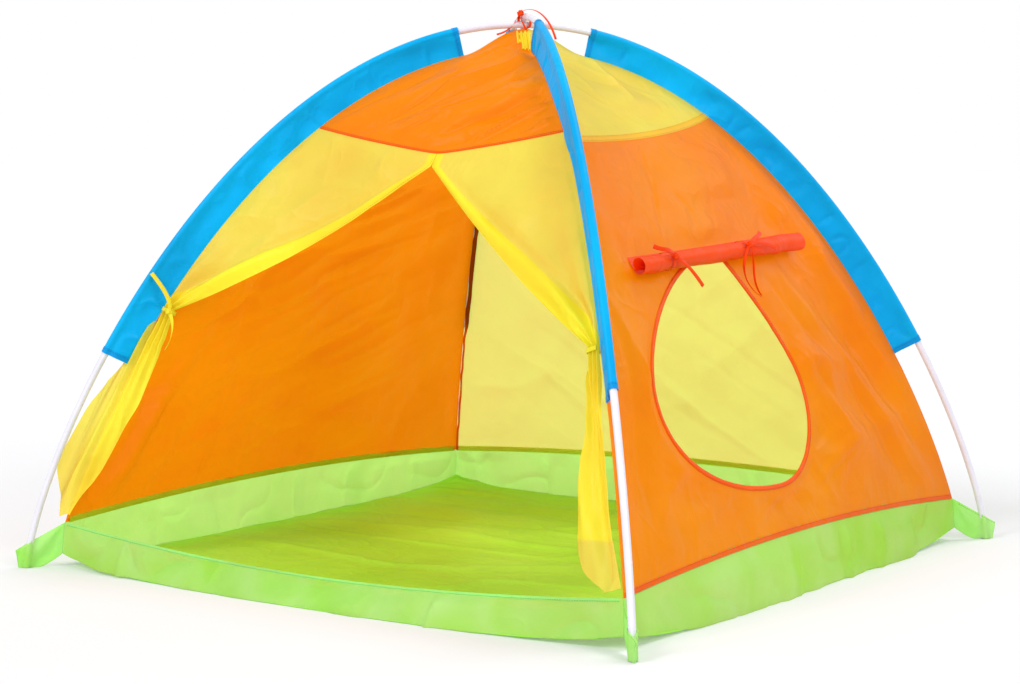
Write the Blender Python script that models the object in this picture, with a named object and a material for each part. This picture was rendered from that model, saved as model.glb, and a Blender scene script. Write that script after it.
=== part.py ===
"""Kids play tent: a square dome of thin cloth held up by two crossed bending poles.

Metres, +Z up. The origin is the middle of the floor's underside. The door faces -Y and
the wall with the window faces +X. Each wall is drawn as if it were the front wall and then
turned about Z, and each pole, sleeve and pole pocket is drawn in the XZ plane and turned to
its corner.
"""
import math

import bmesh
import bpy
from mathutils import Matrix, Vector

# Poles: bent tubes in five sections, joined by spigots
POLE_REACH = 0.840
POLE_RISE = 0.910
POLE_OUTER = 0.0115
POLE_WALL = 0.0015
FOOT_LEAN = math.radians(84.5)
FOOT_HANDLE = 0.191
CROWN_HANDLE = 0.500
SPIGOT_LENGTH = 0.080
FIT_GAP = 0.0003
SECTIONS = 5
STEPS_PER_SECTION = 8
POLE_SIDES = 10

# Cloth and the seams between its pieces
CLOTH = 0.001
SEAM_GAP = 0.0003
WALL_SAG = 0.006
COLUMNS = 10

# Sleeves between the poles and the corner seams
SLEEVE_WIDTH = 0.047
SLEEVE_SLACK = 0.0006
SLEEVE_STITCH = 0.006
SLEEVE_FROM_FOOT = 0.382
SLEEVE_FROM_CROWN = 0.115

# Top panels, whose lower seam is at a share of the poles' height
BAND_SHARE = 0.8077
BAND_HEIGHT = POLE_RISE * BAND_SHARE
DOOR_BAND_DIP = 0.043
WALL_BAND_DIP = 0.022
PEAK_REACH = 0.003

# Tub: floor, base strips and door sill, a little inside the poles' feet
TUB_TO_FOOT = 0.0587
FLOOR_HALF = (POLE_REACH - TUB_TO_FOOT) / math.sqrt(2)
TUB_CORNER = 0.0747
STRIP_MIDDLE = 0.096
SILL_MIDDLE = 0.045
DOOR_BULGE = 0.035
WALL_BULGE = 0.010
CORNER_LIFT = 0.022
STRIP_BELLY = 0.004
LIFT_POWER = 6

# Pockets for the pole feet
POCKET_MARGIN = 0.012
POCKET_END = 0.030
POCKET_SOLE = 0.035
POCKET_EYE_SIDES = 12
POCKET_OVERRUN = 0.020

# Window in the right wall, measured along the wall and upwards
WINDOW_SILL = 0.166
WINDOW_HEAD = 0.535
WINDOW_BELLY = 0.320
WINDOW_LEFT = 0.341
WINDOW_RIGHT = 0.117
WINDOW_FOOT_SHIFT = 0.045
WINDOW_HEAD_SHIFT = 0.050
WINDOW_STEPS = 9
BINDING_WIDTH = 0.006
BINDING_PROUD = 0.0008
CUT_DEPTH = 0.008
LEFT_WINDOW_SHARES = (0.34, 0.47, 0.60, 0.50)
RIGHT_WINDOW_SHARES = (0.50, 0.28, 0.58, 0.60)

# Rolled window flap and its ties
ROLL_SEAM_RISE = 0.009
ROLL_SEAM = WINDOW_HEAD + ROLL_SEAM_RISE
ROLL_CLIMB_SHARE = 0.036
ROLL_LEFT = 0.272
ROLL_RIGHT = 0.243
ROLL_RADIUS = 0.0155
ROLL_PITCH = 0.0042
ROLL_CLOTH = 0.0014
ROLL_TURNS = 2.25
ROLL_DROP = 0.022
ROLL_SEAM_LENGTH = 0.003
ROLL_COLUMNS = 4
ROLL_STEPS_PER_TURN = 12
LEFT_TIE_PLACE = 0.195
RIGHT_TIE_PLACE = 0.047
BAND_STEPS = 10
BAND_START_SHARE = 0.62

# Tapes
TAPE_WIDTH = 0.007
TAPE_THICK = 0.0008
KNOT_RADIUS = 0.0055
KNOT_SEAT_SHARE = 0.9
TAPE_STEPS = 5

# Loose ends of the ties: how far they go, and their bends as shares of that and of the knot
SLEEVE_END_RISE = 0.070
SLEEVE_END_REACH = 0.058
HANGING_END_FALL = 0.055
HANGING_END_REACH = 0.030
STANDING_END_RISE = 0.060
STANDING_END_REACH = 0.020
INNER_END_REACH = 0.045
INNER_END_FALL = 0.040
WINDOW_END_ALONG = 0.090
WINDOW_END_FALL = 0.065
PEAK_END_LONG = 0.075
PEAK_END_SHORT = 0.040
SLEEVE_END_SHARES = ((0.25, 0.1, 1), (0.65, 0.55, 0), (1, 1, -1.6))
HANGING_END_SHARES = ((0.05, 0.7, 1), (0.5, 0.85, 0), (1, 1.1, -1))
STANDING_END_SHARES = ((0.3, 0, 1), (0.7, 0.2, 1.5), (1, 0.6, 1))
INNER_END_SHARES = ((0.5, -0.2, 0), (1, 0.1, 0), (1.05, 1, 0))
WINDOW_DOWN_SHARES = ((0.2, 0, 2), (0.6, -0.1, 2), (1, -0.3, 1))
WINDOW_ALONG_SHARES = ((0.3, 1, 2), (0.6, 1, 2), (1, 1, 1))
PEAK_LONG_SHARES = ((0.3, 0, 1), (0.7, 0, 1), (0.75, 0.5, 0))
PEAK_SHORT_SHARES = ((0.4, 0, 0), (0.8, 0, 0), (1, 0.5, 0))

# Door flaps, tied back to the two front corners
SLIT_SHIFT = 0.020
SLIT_LENGTH = 0.022
EDGE_SAG = 0.018
LEFT_KNOT = 0.424
RIGHT_KNOT = 0.406
NECK_LENGTH = 0.012
BUNDLE_WIDTH = 0.024
BUNDLE_DEPTH = 0.005
SWAG_FOLD = 0.006
FOLDS = 2.5
FLAP_COLUMNS = 15
LEAST_ROW_STEP = 0.5
HINGE_INSET = 0.0022
HINGE_DEPTH = 0.0005
TAIL_FOOT = 0.088
TAIL_WIDTH = 0.075
TAIL_FOLD = 0.009
TAIL_TURN = math.radians(12)
TAIL_FULL_SHARE = 0.25
TAIL_THIN_SHARE = 0.5
TAIL_NARROW_SHARE = 0.33
LEFT_KNOT_SHARE = 0.80
RIGHT_KNOT_SHARE = 0.35
DOOR_LOOP_SHARES = ((0.12, 1.0), (0.96, 1.0), (1.0, 0.85), (1.0, -0.85), (0.96, -1.0), (0.12, -1.0))
LEFT_TAIL_SHARES = ((0.0, 0.32), (0.08, 0.50), (0.20, 0.66), (0.35, 0.74), (0.50, 0.76),
                    (0.65, 0.70), (0.80, 0.52), (0.92, 0.28), (1.0, 0.10))
RIGHT_TAIL_SHARES = ((0.0, 0.32), (0.08, 0.38), (0.20, 0.46), (0.35, 0.58), (0.50, 0.72),
                     (0.65, 0.88), (0.80, 1.0), (0.92, 0.82), (1.0, 0.34))

# Numbers of faces, and what counts as an edge between them
FINE_STEPS = 400
EYE_STEPS = 7
STRIP_ROWS = 3
TANGENT_STEPS = 0.5
SHARP_ANGLE = math.radians(35)

UP = Vector((0, 0, 1))
STEPS = SECTIONS * STEPS_PER_SECTION
CROWN = STEPS // 2
CORNERS = {"back_right": 45, "back_left": 135, "front_left": 225, "front_right": 315}
SIDES = {"front": 0, "right": 90, "back": 180, "left": 270}

# sRGB colour and roughness of each material
FINISHES = {
    "white_plastic": ((0.90, 0.90, 0.92), 0.30),
    "orange_cloth": ((0.96, 0.47, 0.08), 0.55),
    "yellow_cloth": ((0.95, 0.87, 0.16), 0.55),
    "blue_cloth": ((0.02, 0.55, 0.88), 0.55),
    "green_cloth": ((0.60, 0.85, 0.26), 0.45),
    "red_tape": ((0.93, 0.25, 0.08), 0.60),
}


def clear_scene():
    for thing in list(bpy.data.objects):
        bpy.data.objects.remove(thing, do_unlink=True)


def linear(channel):
    """Linear value of one sRGB channel."""
    if channel <= 0.04045:
        return channel / 12.92
    return ((channel + 0.055) / 1.055) ** 2.4


def finish(name):
    """The named material, made on first use."""
    found = bpy.data.materials.get(name)
    if found:
        return found
    colour, roughness = FINISHES[name]
    material = bpy.data.materials.new(name)
    material.use_nodes = True
    shader = material.node_tree.nodes["Principled BSDF"]
    shader.inputs["Base Color"].default_value = [linear(channel) for channel in colour] + [1.0]
    shader.inputs["Roughness"].default_value = roughness
    shader.inputs["Metallic"].default_value = 0.0
    return material


def ease(share):
    """Smooth step from 0 to 1."""
    share = min(max(share, 0.0), 1.0)
    return share * share * (3 - 2 * share)


def bezier(a, b, c, d, t):
    """Point of a cubic curve."""
    s = 1 - t
    return a * s ** 3 + b * (3 * s * s * t) + c * (3 * s * t * t) + d * t ** 3


def shares(count):
    """Even steps from 0 to 1."""
    return [n / count for n in range(count + 1)]


def on_path(path, place):
    """Point of a polyline at a step count that need not be whole."""
    step = min(max(int(math.floor(place)), 0), len(path) - 2)
    return path[step].lerp(path[step + 1], place - step)


def path_tangent(path, place):
    """Unit direction of a polyline, halved between its two chords at a corner."""
    low = max(place - TANGENT_STEPS, 0.0)
    high = min(place + TANGENT_STEPS, len(path) - 1.0)
    return (on_path(path, high) - on_path(path, low)).normalized()


def outward(tangent):
    """Unit normal, away from the tent, of a tangent that climbs towards the crown."""
    return Vector((tangent.y, -tangent.x))


def arch_points(foot, rise):
    """(reach, height) points from a foot to the crown, at equal steps along the pole."""
    above_foot = foot + FOOT_HANDLE * Vector((-math.cos(FOOT_LEAN), math.sin(FOOT_LEAN)))
    crown = Vector((0, rise))
    beside_crown = Vector((CROWN_HANDLE, rise))
    fine = [bezier(foot, above_foot, beside_crown, crown, share) for share in shares(FINE_STEPS)]
    walked = [0.0]
    for near, far in zip(fine, fine[1:]):
        walked.append(walked[-1] + (far - near).length)
    points = []
    index = 0
    for step in range(CROWN + 1):
        goal = walked[-1] * step / CROWN
        while index < FINE_STEPS - 1 and walked[index + 1] < goal:
            index += 1
        part = (goal - walked[index]) / (walked[index + 1] - walked[index])
        points.append(fine[index].lerp(fine[index + 1], part))
    return points


def half_arch(rise):
    """Half a pole, with its slanting end just clear of the pocket's cloth."""
    low = arch_points(Vector((POLE_REACH, 0)), rise)
    lean = (low[1] - low[0]).normalized()
    seat = CLOTH + FIT_GAP - POLE_OUTER / 2 * lean.x
    return arch_points(Vector((POLE_REACH, seat)), rise)


def whole_arch(rise):
    """The full pole, from its foot at +X over the crown to its foot at -X."""
    half = half_arch(rise)
    return half + [Vector((-point.x, point.y)) for point in reversed(half[:-1])]


RUB = POLE_OUTER / 2 + FIT_GAP / 2
LOWER_ARCH = whole_arch(POLE_RISE - RUB)
UPPER_ARCH = whole_arch(POLE_RISE + RUB)
MEAN_ARCH = half_arch(POLE_RISE)
STEP_LENGTH = (MEAN_ARCH[1] - MEAN_ARCH[0]).length
SLEEVE_LOW = SLEEVE_FROM_FOOT / STEP_LENGTH
SLEEVE_HIGH = CROWN - SLEEVE_FROM_CROWN / STEP_LENGTH
PEAK_DROP = POLE_OUTER + FIT_GAP / 2 + TAPE_THICK + 2 * SEAM_GAP


def corner_seam():
    """(reach, height) of the corner seams, a sleeve's width inside the poles."""
    points = []
    for step, point in enumerate(MEAN_ARCH):
        share = ease((CROWN - step) / (CROWN - SLEEVE_HIGH))
        drop = PEAK_DROP + (SLEEVE_WIDTH - PEAK_DROP) * share
        normal = Vector((0, 1)) if step == CROWN else outward(path_tangent(MEAN_ARCH, step))
        points.append(point - normal * drop)
    return points


SEAM = corner_seam()
MITRE = SEAM_GAP / math.sqrt(2)
KNOT_SEAT = KNOT_RADIUS * KNOT_SEAT_SHARE
GAP_PLACE = SEAM_GAP / STEP_LENGTH


def place_at_height(height):
    """Step count up the corner seam at a height."""
    for step, (low, high) in enumerate(zip(SEAM, SEAM[1:])):
        if height <= high.y:
            return step + (height - low.y) / (high.y - low.y)
    return float(CROWN)


HEM = place_at_height(TUB_CORNER)
PEAK = CROWN - PEAK_REACH / STEP_LENGTH


def wall_point(across, place, depth=0.0):
    """Point of the front wall. across is -1 to 1 between its corner seams, place counts
    steps up them, and depth goes into the cloth from its outer face."""
    seam = on_path(SEAM, place)
    half = seam.x / math.sqrt(2)
    climb = path_tangent(SEAM, place)
    profile = Vector((climb.x / math.sqrt(2), climb.y)).normalized()
    out, up = profile.y, -profile.x
    bow = math.sin(math.pi * min(max((place - HEM) / (PEAK - HEM), 0.0), 1.0))
    inward = depth + WALL_SAG * bow * (1 - across * across)
    return Vector((across * (half - depth * out - MITRE), -(half - inward * out), seam.y - inward * up))


def wall_normal(place):
    climb = path_tangent(SEAM, place)
    profile = Vector((climb.x / math.sqrt(2), climb.y)).normalized()
    return Vector((0, -profile.y, -profile.x))


def hem_place(across):
    """Where a closed wall ends above its base strip."""
    return place_at_height(TUB_CORNER + (STRIP_MIDDLE - TUB_CORNER) * (1 - across * across))


def band_place(across, dip):
    """Where a wall's top panel is sewn on."""
    return place_at_height(BAND_HEIGHT - dip * (1 - across * across))


def on_columns(edge, across):
    """Point on the straight edges between a wall's columns, which its neighbours share."""
    spot = (across + 1) * COLUMNS / 2
    column = min(int(spot), COLUMNS - 1)
    return edge(2 * column / COLUMNS - 1).lerp(edge(2 * (column + 1) / COLUMNS - 1), spot - column)


def seam_rows(low, high):
    """Places from low to high with a row at each whole step between them."""
    return [low] + list(range(math.ceil(low), math.floor(high) + 1)) + [high]


def new_object(name, mesh, material_name, parent, at=None):
    """Object of a mesh drawn in its parent's frame, with its origin at the given point."""
    mesh.materials.append(finish(material_name))
    mesh.shade_smooth()
    mesh.set_sharp_from_angle(angle=SHARP_ANGLE)
    thing = bpy.data.objects.new(name, mesh)
    bpy.context.scene.collection.objects.link(thing)
    if at is not None:
        mesh.transform(Matrix.Translation(-at))
        thing.location = at
    thing.parent = parent
    return thing


def mesh_of(name, points, faces):
    mesh = bpy.data.meshes.new(name)
    mesh.from_pydata(points, [], faces)
    work = bmesh.new()
    work.from_mesh(mesh)
    bmesh.ops.recalc_face_normals(work, faces=work.faces)
    work.to_mesh(mesh)
    work.free()
    return mesh


def plate_mesh(name, front, back):
    """Closed body between two equal grids of points, rows by columns. Both sides are cut along
    the same diagonals, so that thin cloth keeps its thickness where it curves two ways."""
    rows = len(front)
    columns = len(front[0])
    points = [point for row in front for point in row] + [point for row in back for point in row]
    size = rows * columns
    faces = []
    for r in range(rows - 1):
        for c in range(columns - 1):
            a = r * columns + c
            quad = (a, a + 1, a + columns + 1, a + columns)
            rising = (front[r][c] - front[r + 1][c + 1]).length
            falling = (front[r][c + 1] - front[r + 1][c]).length
            turned = quad if rising <= falling else quad[1:] + quad[:1]
            for corners in (turned[:3], turned[2:] + turned[:1]):
                faces.append(corners)
                faces.append(tuple(size + corner for corner in reversed(corners)))
    rim = [c for c in range(columns)]
    rim += [r * columns + columns - 1 for r in range(1, rows)]
    rim += [(rows - 1) * columns + c for c in reversed(range(columns - 1))]
    rim += [r * columns for r in reversed(range(1, rows - 1))]
    for near, far in zip(rim, rim[1:] + rim[:1]):
        faces.append((far, near, size + near, size + far))
    return mesh_of(name, points, faces)


def bar_mesh(name, rings):
    """Closed body through a row of equal rings, with both ends filled."""
    count = len(rings[0])
    points = [point for ring in rings for point in ring]
    faces = [tuple(range(count)), tuple(reversed(range(len(points) - count, len(points))))]
    for r in range(len(rings) - 1):
        for n in range(count):
            a = r * count + n
            b = r * count + (n + 1) % count
            faces.append((a, b, b + count, a + count))
    return mesh_of(name, points, faces)


def hoop_mesh(name, rings):
    """Closed body through a row of equal rings that runs into itself."""
    count = len(rings[0])
    points = [point for ring in rings for point in ring]
    faces = []
    for r in range(len(rings)):
        for n in range(count):
            a = r * count + n
            b = r * count + (n + 1) % count
            faces.append((a, b, (b + count) % len(points), (a + count) % len(points)))
    return mesh_of(name, points, faces)


def pipe_mesh(name, outer, inner):
    """Closed body between an outer and an inner row of equal rings."""
    count = len(outer[0])
    points = [point for ring in outer + inner for point in ring]
    size = len(outer) * count
    last = size - count
    faces = []
    for n in range(count):
        m = (n + 1) % count
        for r in range(len(outer) - 1):
            a = r * count + n
            b = r * count + m
            faces.append((a, b, b + count, a + count))
            faces.append((size + a + count, size + b + count, size + b, size + a))
        faces.append((m, n, size + n, size + m))
        faces.append((last + n, last + m, size + last + m, size + last + n))
    return mesh_of(name, points, faces)


def hidden_part(name, mesh, parent):
    """A shape that a Boolean reads and nothing shows."""
    thing = bpy.data.objects.new(name, mesh)
    bpy.context.scene.collection.objects.link(thing)
    thing.parent = parent
    thing.hide_render = True
    thing.display_type = "WIRE"
    return thing


def boolean(thing, other, operation):
    modifier = thing.modifiers.new(other.name, "BOOLEAN")
    modifier.operation = operation
    modifier.object = other


def hinge_empty(name, at, axes, parent):
    """Empty on a joint, with its own axes given as columns."""
    empty = bpy.data.objects.new(name, None)
    bpy.context.scene.collection.objects.link(empty)
    empty.parent = parent
    empty.matrix_basis = Matrix.Translation(at) @ Matrix(axes).transposed().to_4x4()
    return empty


def frame(name, turn_degrees):
    """Empty that turns what is drawn in the front or +X frame to its own side."""
    empty = bpy.data.objects.new(name, None)
    bpy.context.scene.collection.objects.link(empty)
    empty.rotation_euler.z = math.radians(turn_degrees)
    return empty


# Poles, sleeves and pockets, all drawn in the XZ plane

def flat(point, side=0.0):
    """A (reach, height) point in the XZ plane, moved sideways."""
    return Vector((point.x, side, point.y))


def circle_ring(path, place, radius, sides):
    centre = on_path(path, place)
    normal = outward(path_tangent(path, place))
    ring = []
    for n in range(sides):
        angle = 2 * math.pi * n / sides
        ring.append(flat(centre + normal * (radius * math.cos(angle)), radius * math.sin(angle)))
    return ring


def make_pole(label, arch, parent):
    """Five tube sections end to end, and the four spigots inside their joints."""
    end_gap = FIT_GAP / 2 / STEP_LENGTH
    bore = POLE_OUTER / 2 - POLE_WALL
    for section in range(SECTIONS):
        first = section * STEPS_PER_SECTION
        last = first + STEPS_PER_SECTION
        low = first if section == 0 else first + end_gap
        high = last if section == SECTIONS - 1 else last - end_gap
        places = [low] + list(range(first + 1, last)) + [high]
        outer = [circle_ring(arch, place, POLE_OUTER / 2, POLE_SIDES) for place in places]
        inner = [circle_ring(arch, place, bore, POLE_SIDES) for place in places]
        name = f"{label}_section_{section + 1}"
        middle = flat(arch[first + STEPS_PER_SECTION // 2])
        new_object(name, pipe_mesh(name, outer, inner), "white_plastic", parent, middle)
    reach = SPIGOT_LENGTH / 2 / STEP_LENGTH
    for joint in range(1, SECTIONS):
        centre = joint * STEPS_PER_SECTION
        places = [centre - reach, centre, centre + reach]
        rings = [circle_ring(arch, place, bore - FIT_GAP, POLE_SIDES) for place in places]
        name = f"{label}_spigot_{joint}"
        new_object(name, bar_mesh(name, rings), "white_plastic", parent, flat(arch[centre]))


def sleeve_ring(arch, place, cloth, seam_reach, half_seam):
    """Drop-shaped section of a sleeve: a round eye over the pole that narrows to the seam."""
    eye = on_path(arch, place)
    seam = on_path(SEAM, place)
    normal = (eye - seam).normalized()
    radius = POLE_OUTER / 2 + SLEEVE_SLACK + cloth
    start = seam + normal * seam_reach
    ring = [flat(start, -half_seam)]
    for n in range(EYE_STEPS + 1):
        angle = math.pi * (n / EYE_STEPS - 0.5)
        ring.append(flat(eye + normal * (radius * math.cos(angle)), radius * math.sin(angle)))
    ring.append(flat(start, half_seam))
    return ring


def make_sleeve(corner, arch, parent):
    places = seam_rows(SLEEVE_LOW, SLEEVE_HIGH)
    outer = [sleeve_ring(arch, place, CLOTH, SEAM_GAP, CLOTH) for place in places]
    inner = [sleeve_ring(arch, place, 0.0, SLEEVE_STITCH, FIT_GAP) for place in places]
    name = f"{corner}_sleeve"
    new_object(name, pipe_mesh(name, outer, inner), "blue_cloth", parent, flat(on_path(SEAM, SLEEVE_LOW)))


def corner_of_tub(share):
    """(reach, height) of the tub's outer corner, from its foot (0) to the wall's hem (1)."""
    foot = Vector((FLOOR_HALF * math.sqrt(2), CORNER_LIFT))
    return foot.lerp(on_path(SEAM, HEM), share)


def make_pocket(corner, arch, parent):
    """Doubled tab from the tub's corner to the ground, with an eye that holds the pole's foot."""
    clear = Vector((SEAM_GAP, 0))
    inner_top = corner_of_tub(1) + clear
    inner_low = corner_of_tub(0) + clear
    end = POLE_REACH + POLE_OUTER / 2 + POCKET_MARGIN
    outline = [inner_top, Vector((end, POCKET_END)), Vector((end, 0)),
               Vector((POLE_REACH - POCKET_SOLE, 0)), inner_low]
    rings = [[flat(point, side) for point in outline] for side in (-CLOTH, CLOTH)]
    name = f"{corner}_pole_pocket"
    pocket = new_object(name, bar_mesh(name, rings), "green_cloth", parent)

    lean = path_tangent(arch, 0)
    foot = arch[0]
    slope = (outline[1] - inner_top).normalized()

    def pillar(part, radius, low, high):
        stack = []
        for height in (low, high):
            centre = foot + lean * ((height - foot.y) / lean.y)
            ring = []
            for n in range(POCKET_EYE_SIDES):
                angle = 2 * math.pi * n / POCKET_EYE_SIDES
                ring.append(Vector((centre.x + radius * math.cos(angle), radius * math.sin(angle), height)))
            stack.append(ring)
        return hidden_part(f"{name}_{part}", bar_mesh(part, stack), parent)

    top = POCKET_END + POCKET_OVERRUN
    bore = POLE_OUTER / 2 + SLEEVE_SLACK
    boolean(pocket, pillar("eye", bore + CLOTH, 0.0, top), "UNION")
    boolean(pocket, pillar("bore", bore, CLOTH, top + POCKET_OVERRUN), "DIFFERENCE")
    above = [inner_top - slope * POCKET_OVERRUN, outline[1] + slope * POCKET_OVERRUN]
    above += [point + Vector((0, 2 * POCKET_OVERRUN + POCKET_END)) for point in reversed(above)]
    block = [[flat(point, side) for point in above] for side in (-POCKET_OVERRUN, POCKET_OVERRUN)]
    boolean(pocket, hidden_part(f"{name}_slope", bar_mesh("slope", block), parent), "DIFFERENCE")


# Walls, drawn as the front wall

def panel_mesh(name, low, high):
    """Cloth between two seams, each a function that gives a place for a share across."""
    rows = seam_rows(low(1), high(1))
    front = []
    back = []
    for row in rows:
        share = (row - rows[0]) / (rows[-1] - rows[0])
        outer = []
        inner = []
        for n in range(COLUMNS + 1):
            across = 2 * n / COLUMNS - 1
            place = low(across) + share * (high(across) - low(across))
            if n in (0, COLUMNS):
                place = row
            outer.append(wall_point(across, place))
            inner.append(wall_point(across, place, CLOTH))
        front.append(outer)
        back.append(inner)
    return plate_mesh(name, front, back)


def make_top_panel(side, dip, colour, parent):
    name = f"{side}_top_panel"
    mesh = panel_mesh(name, lambda across: band_place(across, dip) + GAP_PLACE / 2, lambda across: PEAK)
    new_object(name, mesh, colour, parent, wall_point(0, band_place(0, dip)))


def make_lower_wall(side, colour, parent):
    name = f"{side}_wall"
    mesh = panel_mesh(name, lambda across: hem_place(across) + GAP_PLACE / 2,
                      lambda across: band_place(across, WALL_BAND_DIP) - GAP_PLACE / 2)
    return new_object(name, mesh, colour, parent, wall_point(0, hem_place(0)))


def window_half(belly_along, handle_shares):
    """(along, height) points from the window's head over its widest place to its foot."""
    head_share, above_share, below_share, foot_share = handle_shares
    head = Vector((-WINDOW_HEAD_SHIFT, WINDOW_HEAD))
    belly = Vector((belly_along, WINDOW_BELLY))
    foot = Vector((-WINDOW_FOOT_SHIFT, WINDOW_SILL))
    beside_head = Vector((head.x + head_share * (belly.x - head.x), head.y))
    above_belly = belly + Vector((0, above_share * (head.y - belly.y)))
    below_belly = belly - Vector((0, below_share * (belly.y - foot.y)))
    beside_foot = Vector((foot.x + foot_share * (belly.x - foot.x), foot.y))
    steps = shares(WINDOW_STEPS)[:-1]
    points = [bezier(head, beside_head, above_belly, belly, share) for share in steps]
    points += [bezier(belly, below_belly, beside_foot, foot, share) for share in steps]
    return points + [foot]


def window_outline():
    """Points round the pear-shaped window."""
    left = window_half(-WINDOW_LEFT, LEFT_WINDOW_SHARES)
    right = window_half(WINDOW_RIGHT, RIGHT_WINDOW_SHARES)
    return left + right[-2:0:-1]


def inset(points, distance):
    """A closed outline moved inwards by a distance."""
    moved = []
    for before, point, after in zip(points[-1:] + points[:-1], points, points[1:] + points[:1]):
        along = (after - before).normalized()
        moved.append(point + Vector((-along.y, along.x)) * distance)
    return moved


def on_wall(point, depth):
    """A point given by its distance along the front wall and its height."""
    place = place_at_height(point.y)
    half = on_path(SEAM, place).x / math.sqrt(2)
    return wall_point(point.x / half, place, depth)


def make_window(wall, parent):
    outline = window_outline()
    rings = [[on_wall(point, depth) for point in outline] for depth in (-CUT_DEPTH, CUT_DEPTH)]
    boolean(wall, hidden_part("window_cut", bar_mesh("window_cut", rings), parent), "DIFFERENCE")
    outer = inset(outline, SEAM_GAP)
    inner = inset(outline, SEAM_GAP + BINDING_WIDTH)
    sections = []
    for far, near in zip(outer, inner):
        sections.append([on_wall(far, -BINDING_PROUD), on_wall(near, -BINDING_PROUD),
                         on_wall(near, CLOTH + BINDING_PROUD), on_wall(far, CLOTH + BINDING_PROUD)])
    new_object("window_binding", hoop_mesh("window_binding", sections), "red_tape", parent)


# Tub

def floor_edge(across, bulge, lower=0.0):
    """Point of the tub's bottom edge, drawn as the front one."""
    half = FLOOR_HALF - lower
    height = CORNER_LIFT * abs(across) ** LIFT_POWER
    return Vector((across * (half - MITRE), -(half + bulge * (1 - across * across)), height))


def strip_mesh(name, top_of, bulge):
    front = []
    back = []
    for row in range(STRIP_ROWS + 2):
        share = min(row / STRIP_ROWS, 1.0)
        heel = UP * (2 * CLOTH if row == STRIP_ROWS else 0.0)
        belly = STRIP_BELLY * math.sin(math.pi * share)
        outer = []
        inner = []
        for n in range(COLUMNS + 1):
            across = 2 * n / COLUMNS - 1
            place = top_of(across)
            low = floor_edge(across, bulge) + heel
            low_in = floor_edge(across, bulge, CLOTH) + heel
            swell = Vector((0, -belly * (1 - across * across), 0))
            outer.append(place[0].lerp(low, share) + swell)
            inner.append(place[1].lerp(low_in, share) + swell)
        front.append(outer)
        back.append(inner)
    return plate_mesh(name, front, back)


def wall_foot(across):
    place = hem_place(across) - GAP_PLACE / 2
    return wall_point(across, place), wall_point(across, place, CLOTH)


def sill_top(across):
    """Top edge of the door sill, which dips between the two front corners."""
    outer, inner = wall_foot(across)
    drop = Vector((0, 0, (STRIP_MIDDLE - SILL_MIDDLE) * (1 - across * across)))
    slant = Vector((0, -(FLOOR_HALF + outer.y), 0)) * (1 - across * across)
    return outer - drop + slant, inner - drop + slant


def make_strip(side, top_of, bulge, parent):
    name = "door_sill" if side == "front" else f"{side}_base_strip"
    at = Vector((0, -FLOOR_HALF, 0))
    new_object(name, strip_mesh(name, top_of, bulge), "green_cloth", parent, at)


def make_floor():
    """Floor sheet, flat on the ground and lifted at its four corners."""
    front = []
    back = []
    steps = [2 * share - 1 for share in shares(COLUMNS)]
    for v in steps:
        over = []
        under = []
        for u in steps:
            half = FLOOR_HALF - CLOTH - SEAM_GAP
            wide = half + WALL_BULGE * (1 - v * v)
            deep = half + (DOOR_BULGE if v < 0 else WALL_BULGE) * (1 - u * u)
            height = CORNER_LIFT * abs(u * v) ** LIFT_POWER
            over.append(Vector((u * wide, v * deep, height + CLOTH)))
            under.append(Vector((u * wide, v * deep, height)))
        front.append(over)
        back.append(under)
    new_object("floor_sheet", plate_mesh("floor_sheet", front, back), "green_cloth", None)


# Tapes

def ribbon_mesh(name, path, width_way, width, thick):
    """Flat tape along a path, with its width along one direction."""
    rings = []
    for index, point in enumerate(path):
        before = path[max(index - 1, 0)]
        after = path[min(index + 1, len(path) - 1)]
        along = (after - before).normalized()
        side = (width_way - along * width_way.dot(along)).normalized() * (width / 2)
        face = along.cross(side).normalized() * (thick / 2)
        rings.append([point + side + face, point - side + face, point - side - face, point + side - face])
    return bar_mesh(name, rings)


def loose_end(knot, length, spread, lift, bend_shares):
    """Points of a loose end, from just beside the knot's middle: one cubic curve whose later
    points are shares of three ways."""
    start = knot + (length + spread).normalized() * TAPE_THICK
    others = [start + length * a + spread * b + lift * c for a, b, c in bend_shares]
    return [bezier(start, *others, share) for share in shares(TAPE_STEPS)]


def knot_mesh(name, centre):
    mesh = bpy.data.meshes.new(name)
    work = bmesh.new()
    bmesh.ops.create_icosphere(work, subdivisions=2, radius=KNOT_RADIUS, matrix=Matrix.Translation(centre))
    work.to_mesh(mesh)
    work.free()
    return mesh


def make_tie(name, colour, parent, loop, knot, ends):
    """Tape round something, its knot and its loose ends, joined into one body. Each end is its
    path and the way of its width."""
    band = new_object(name, loop, colour, parent)
    boolean(band, hidden_part(f"{name}_knot", knot_mesh("knot", knot), parent), "UNION")
    for index, (path, width_way) in enumerate(ends):
        mesh = ribbon_mesh("end", path, width_way, TAPE_WIDTH, TAPE_THICK)
        boolean(band, hidden_part(f"{name}_end_{index}", mesh, parent), "UNION")


# Door flaps

def flap_fold(w, depth):
    """Fold height across a flap, level at its sewn edge."""
    return depth * math.sin(2 * math.pi * FOLDS * w)


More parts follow.
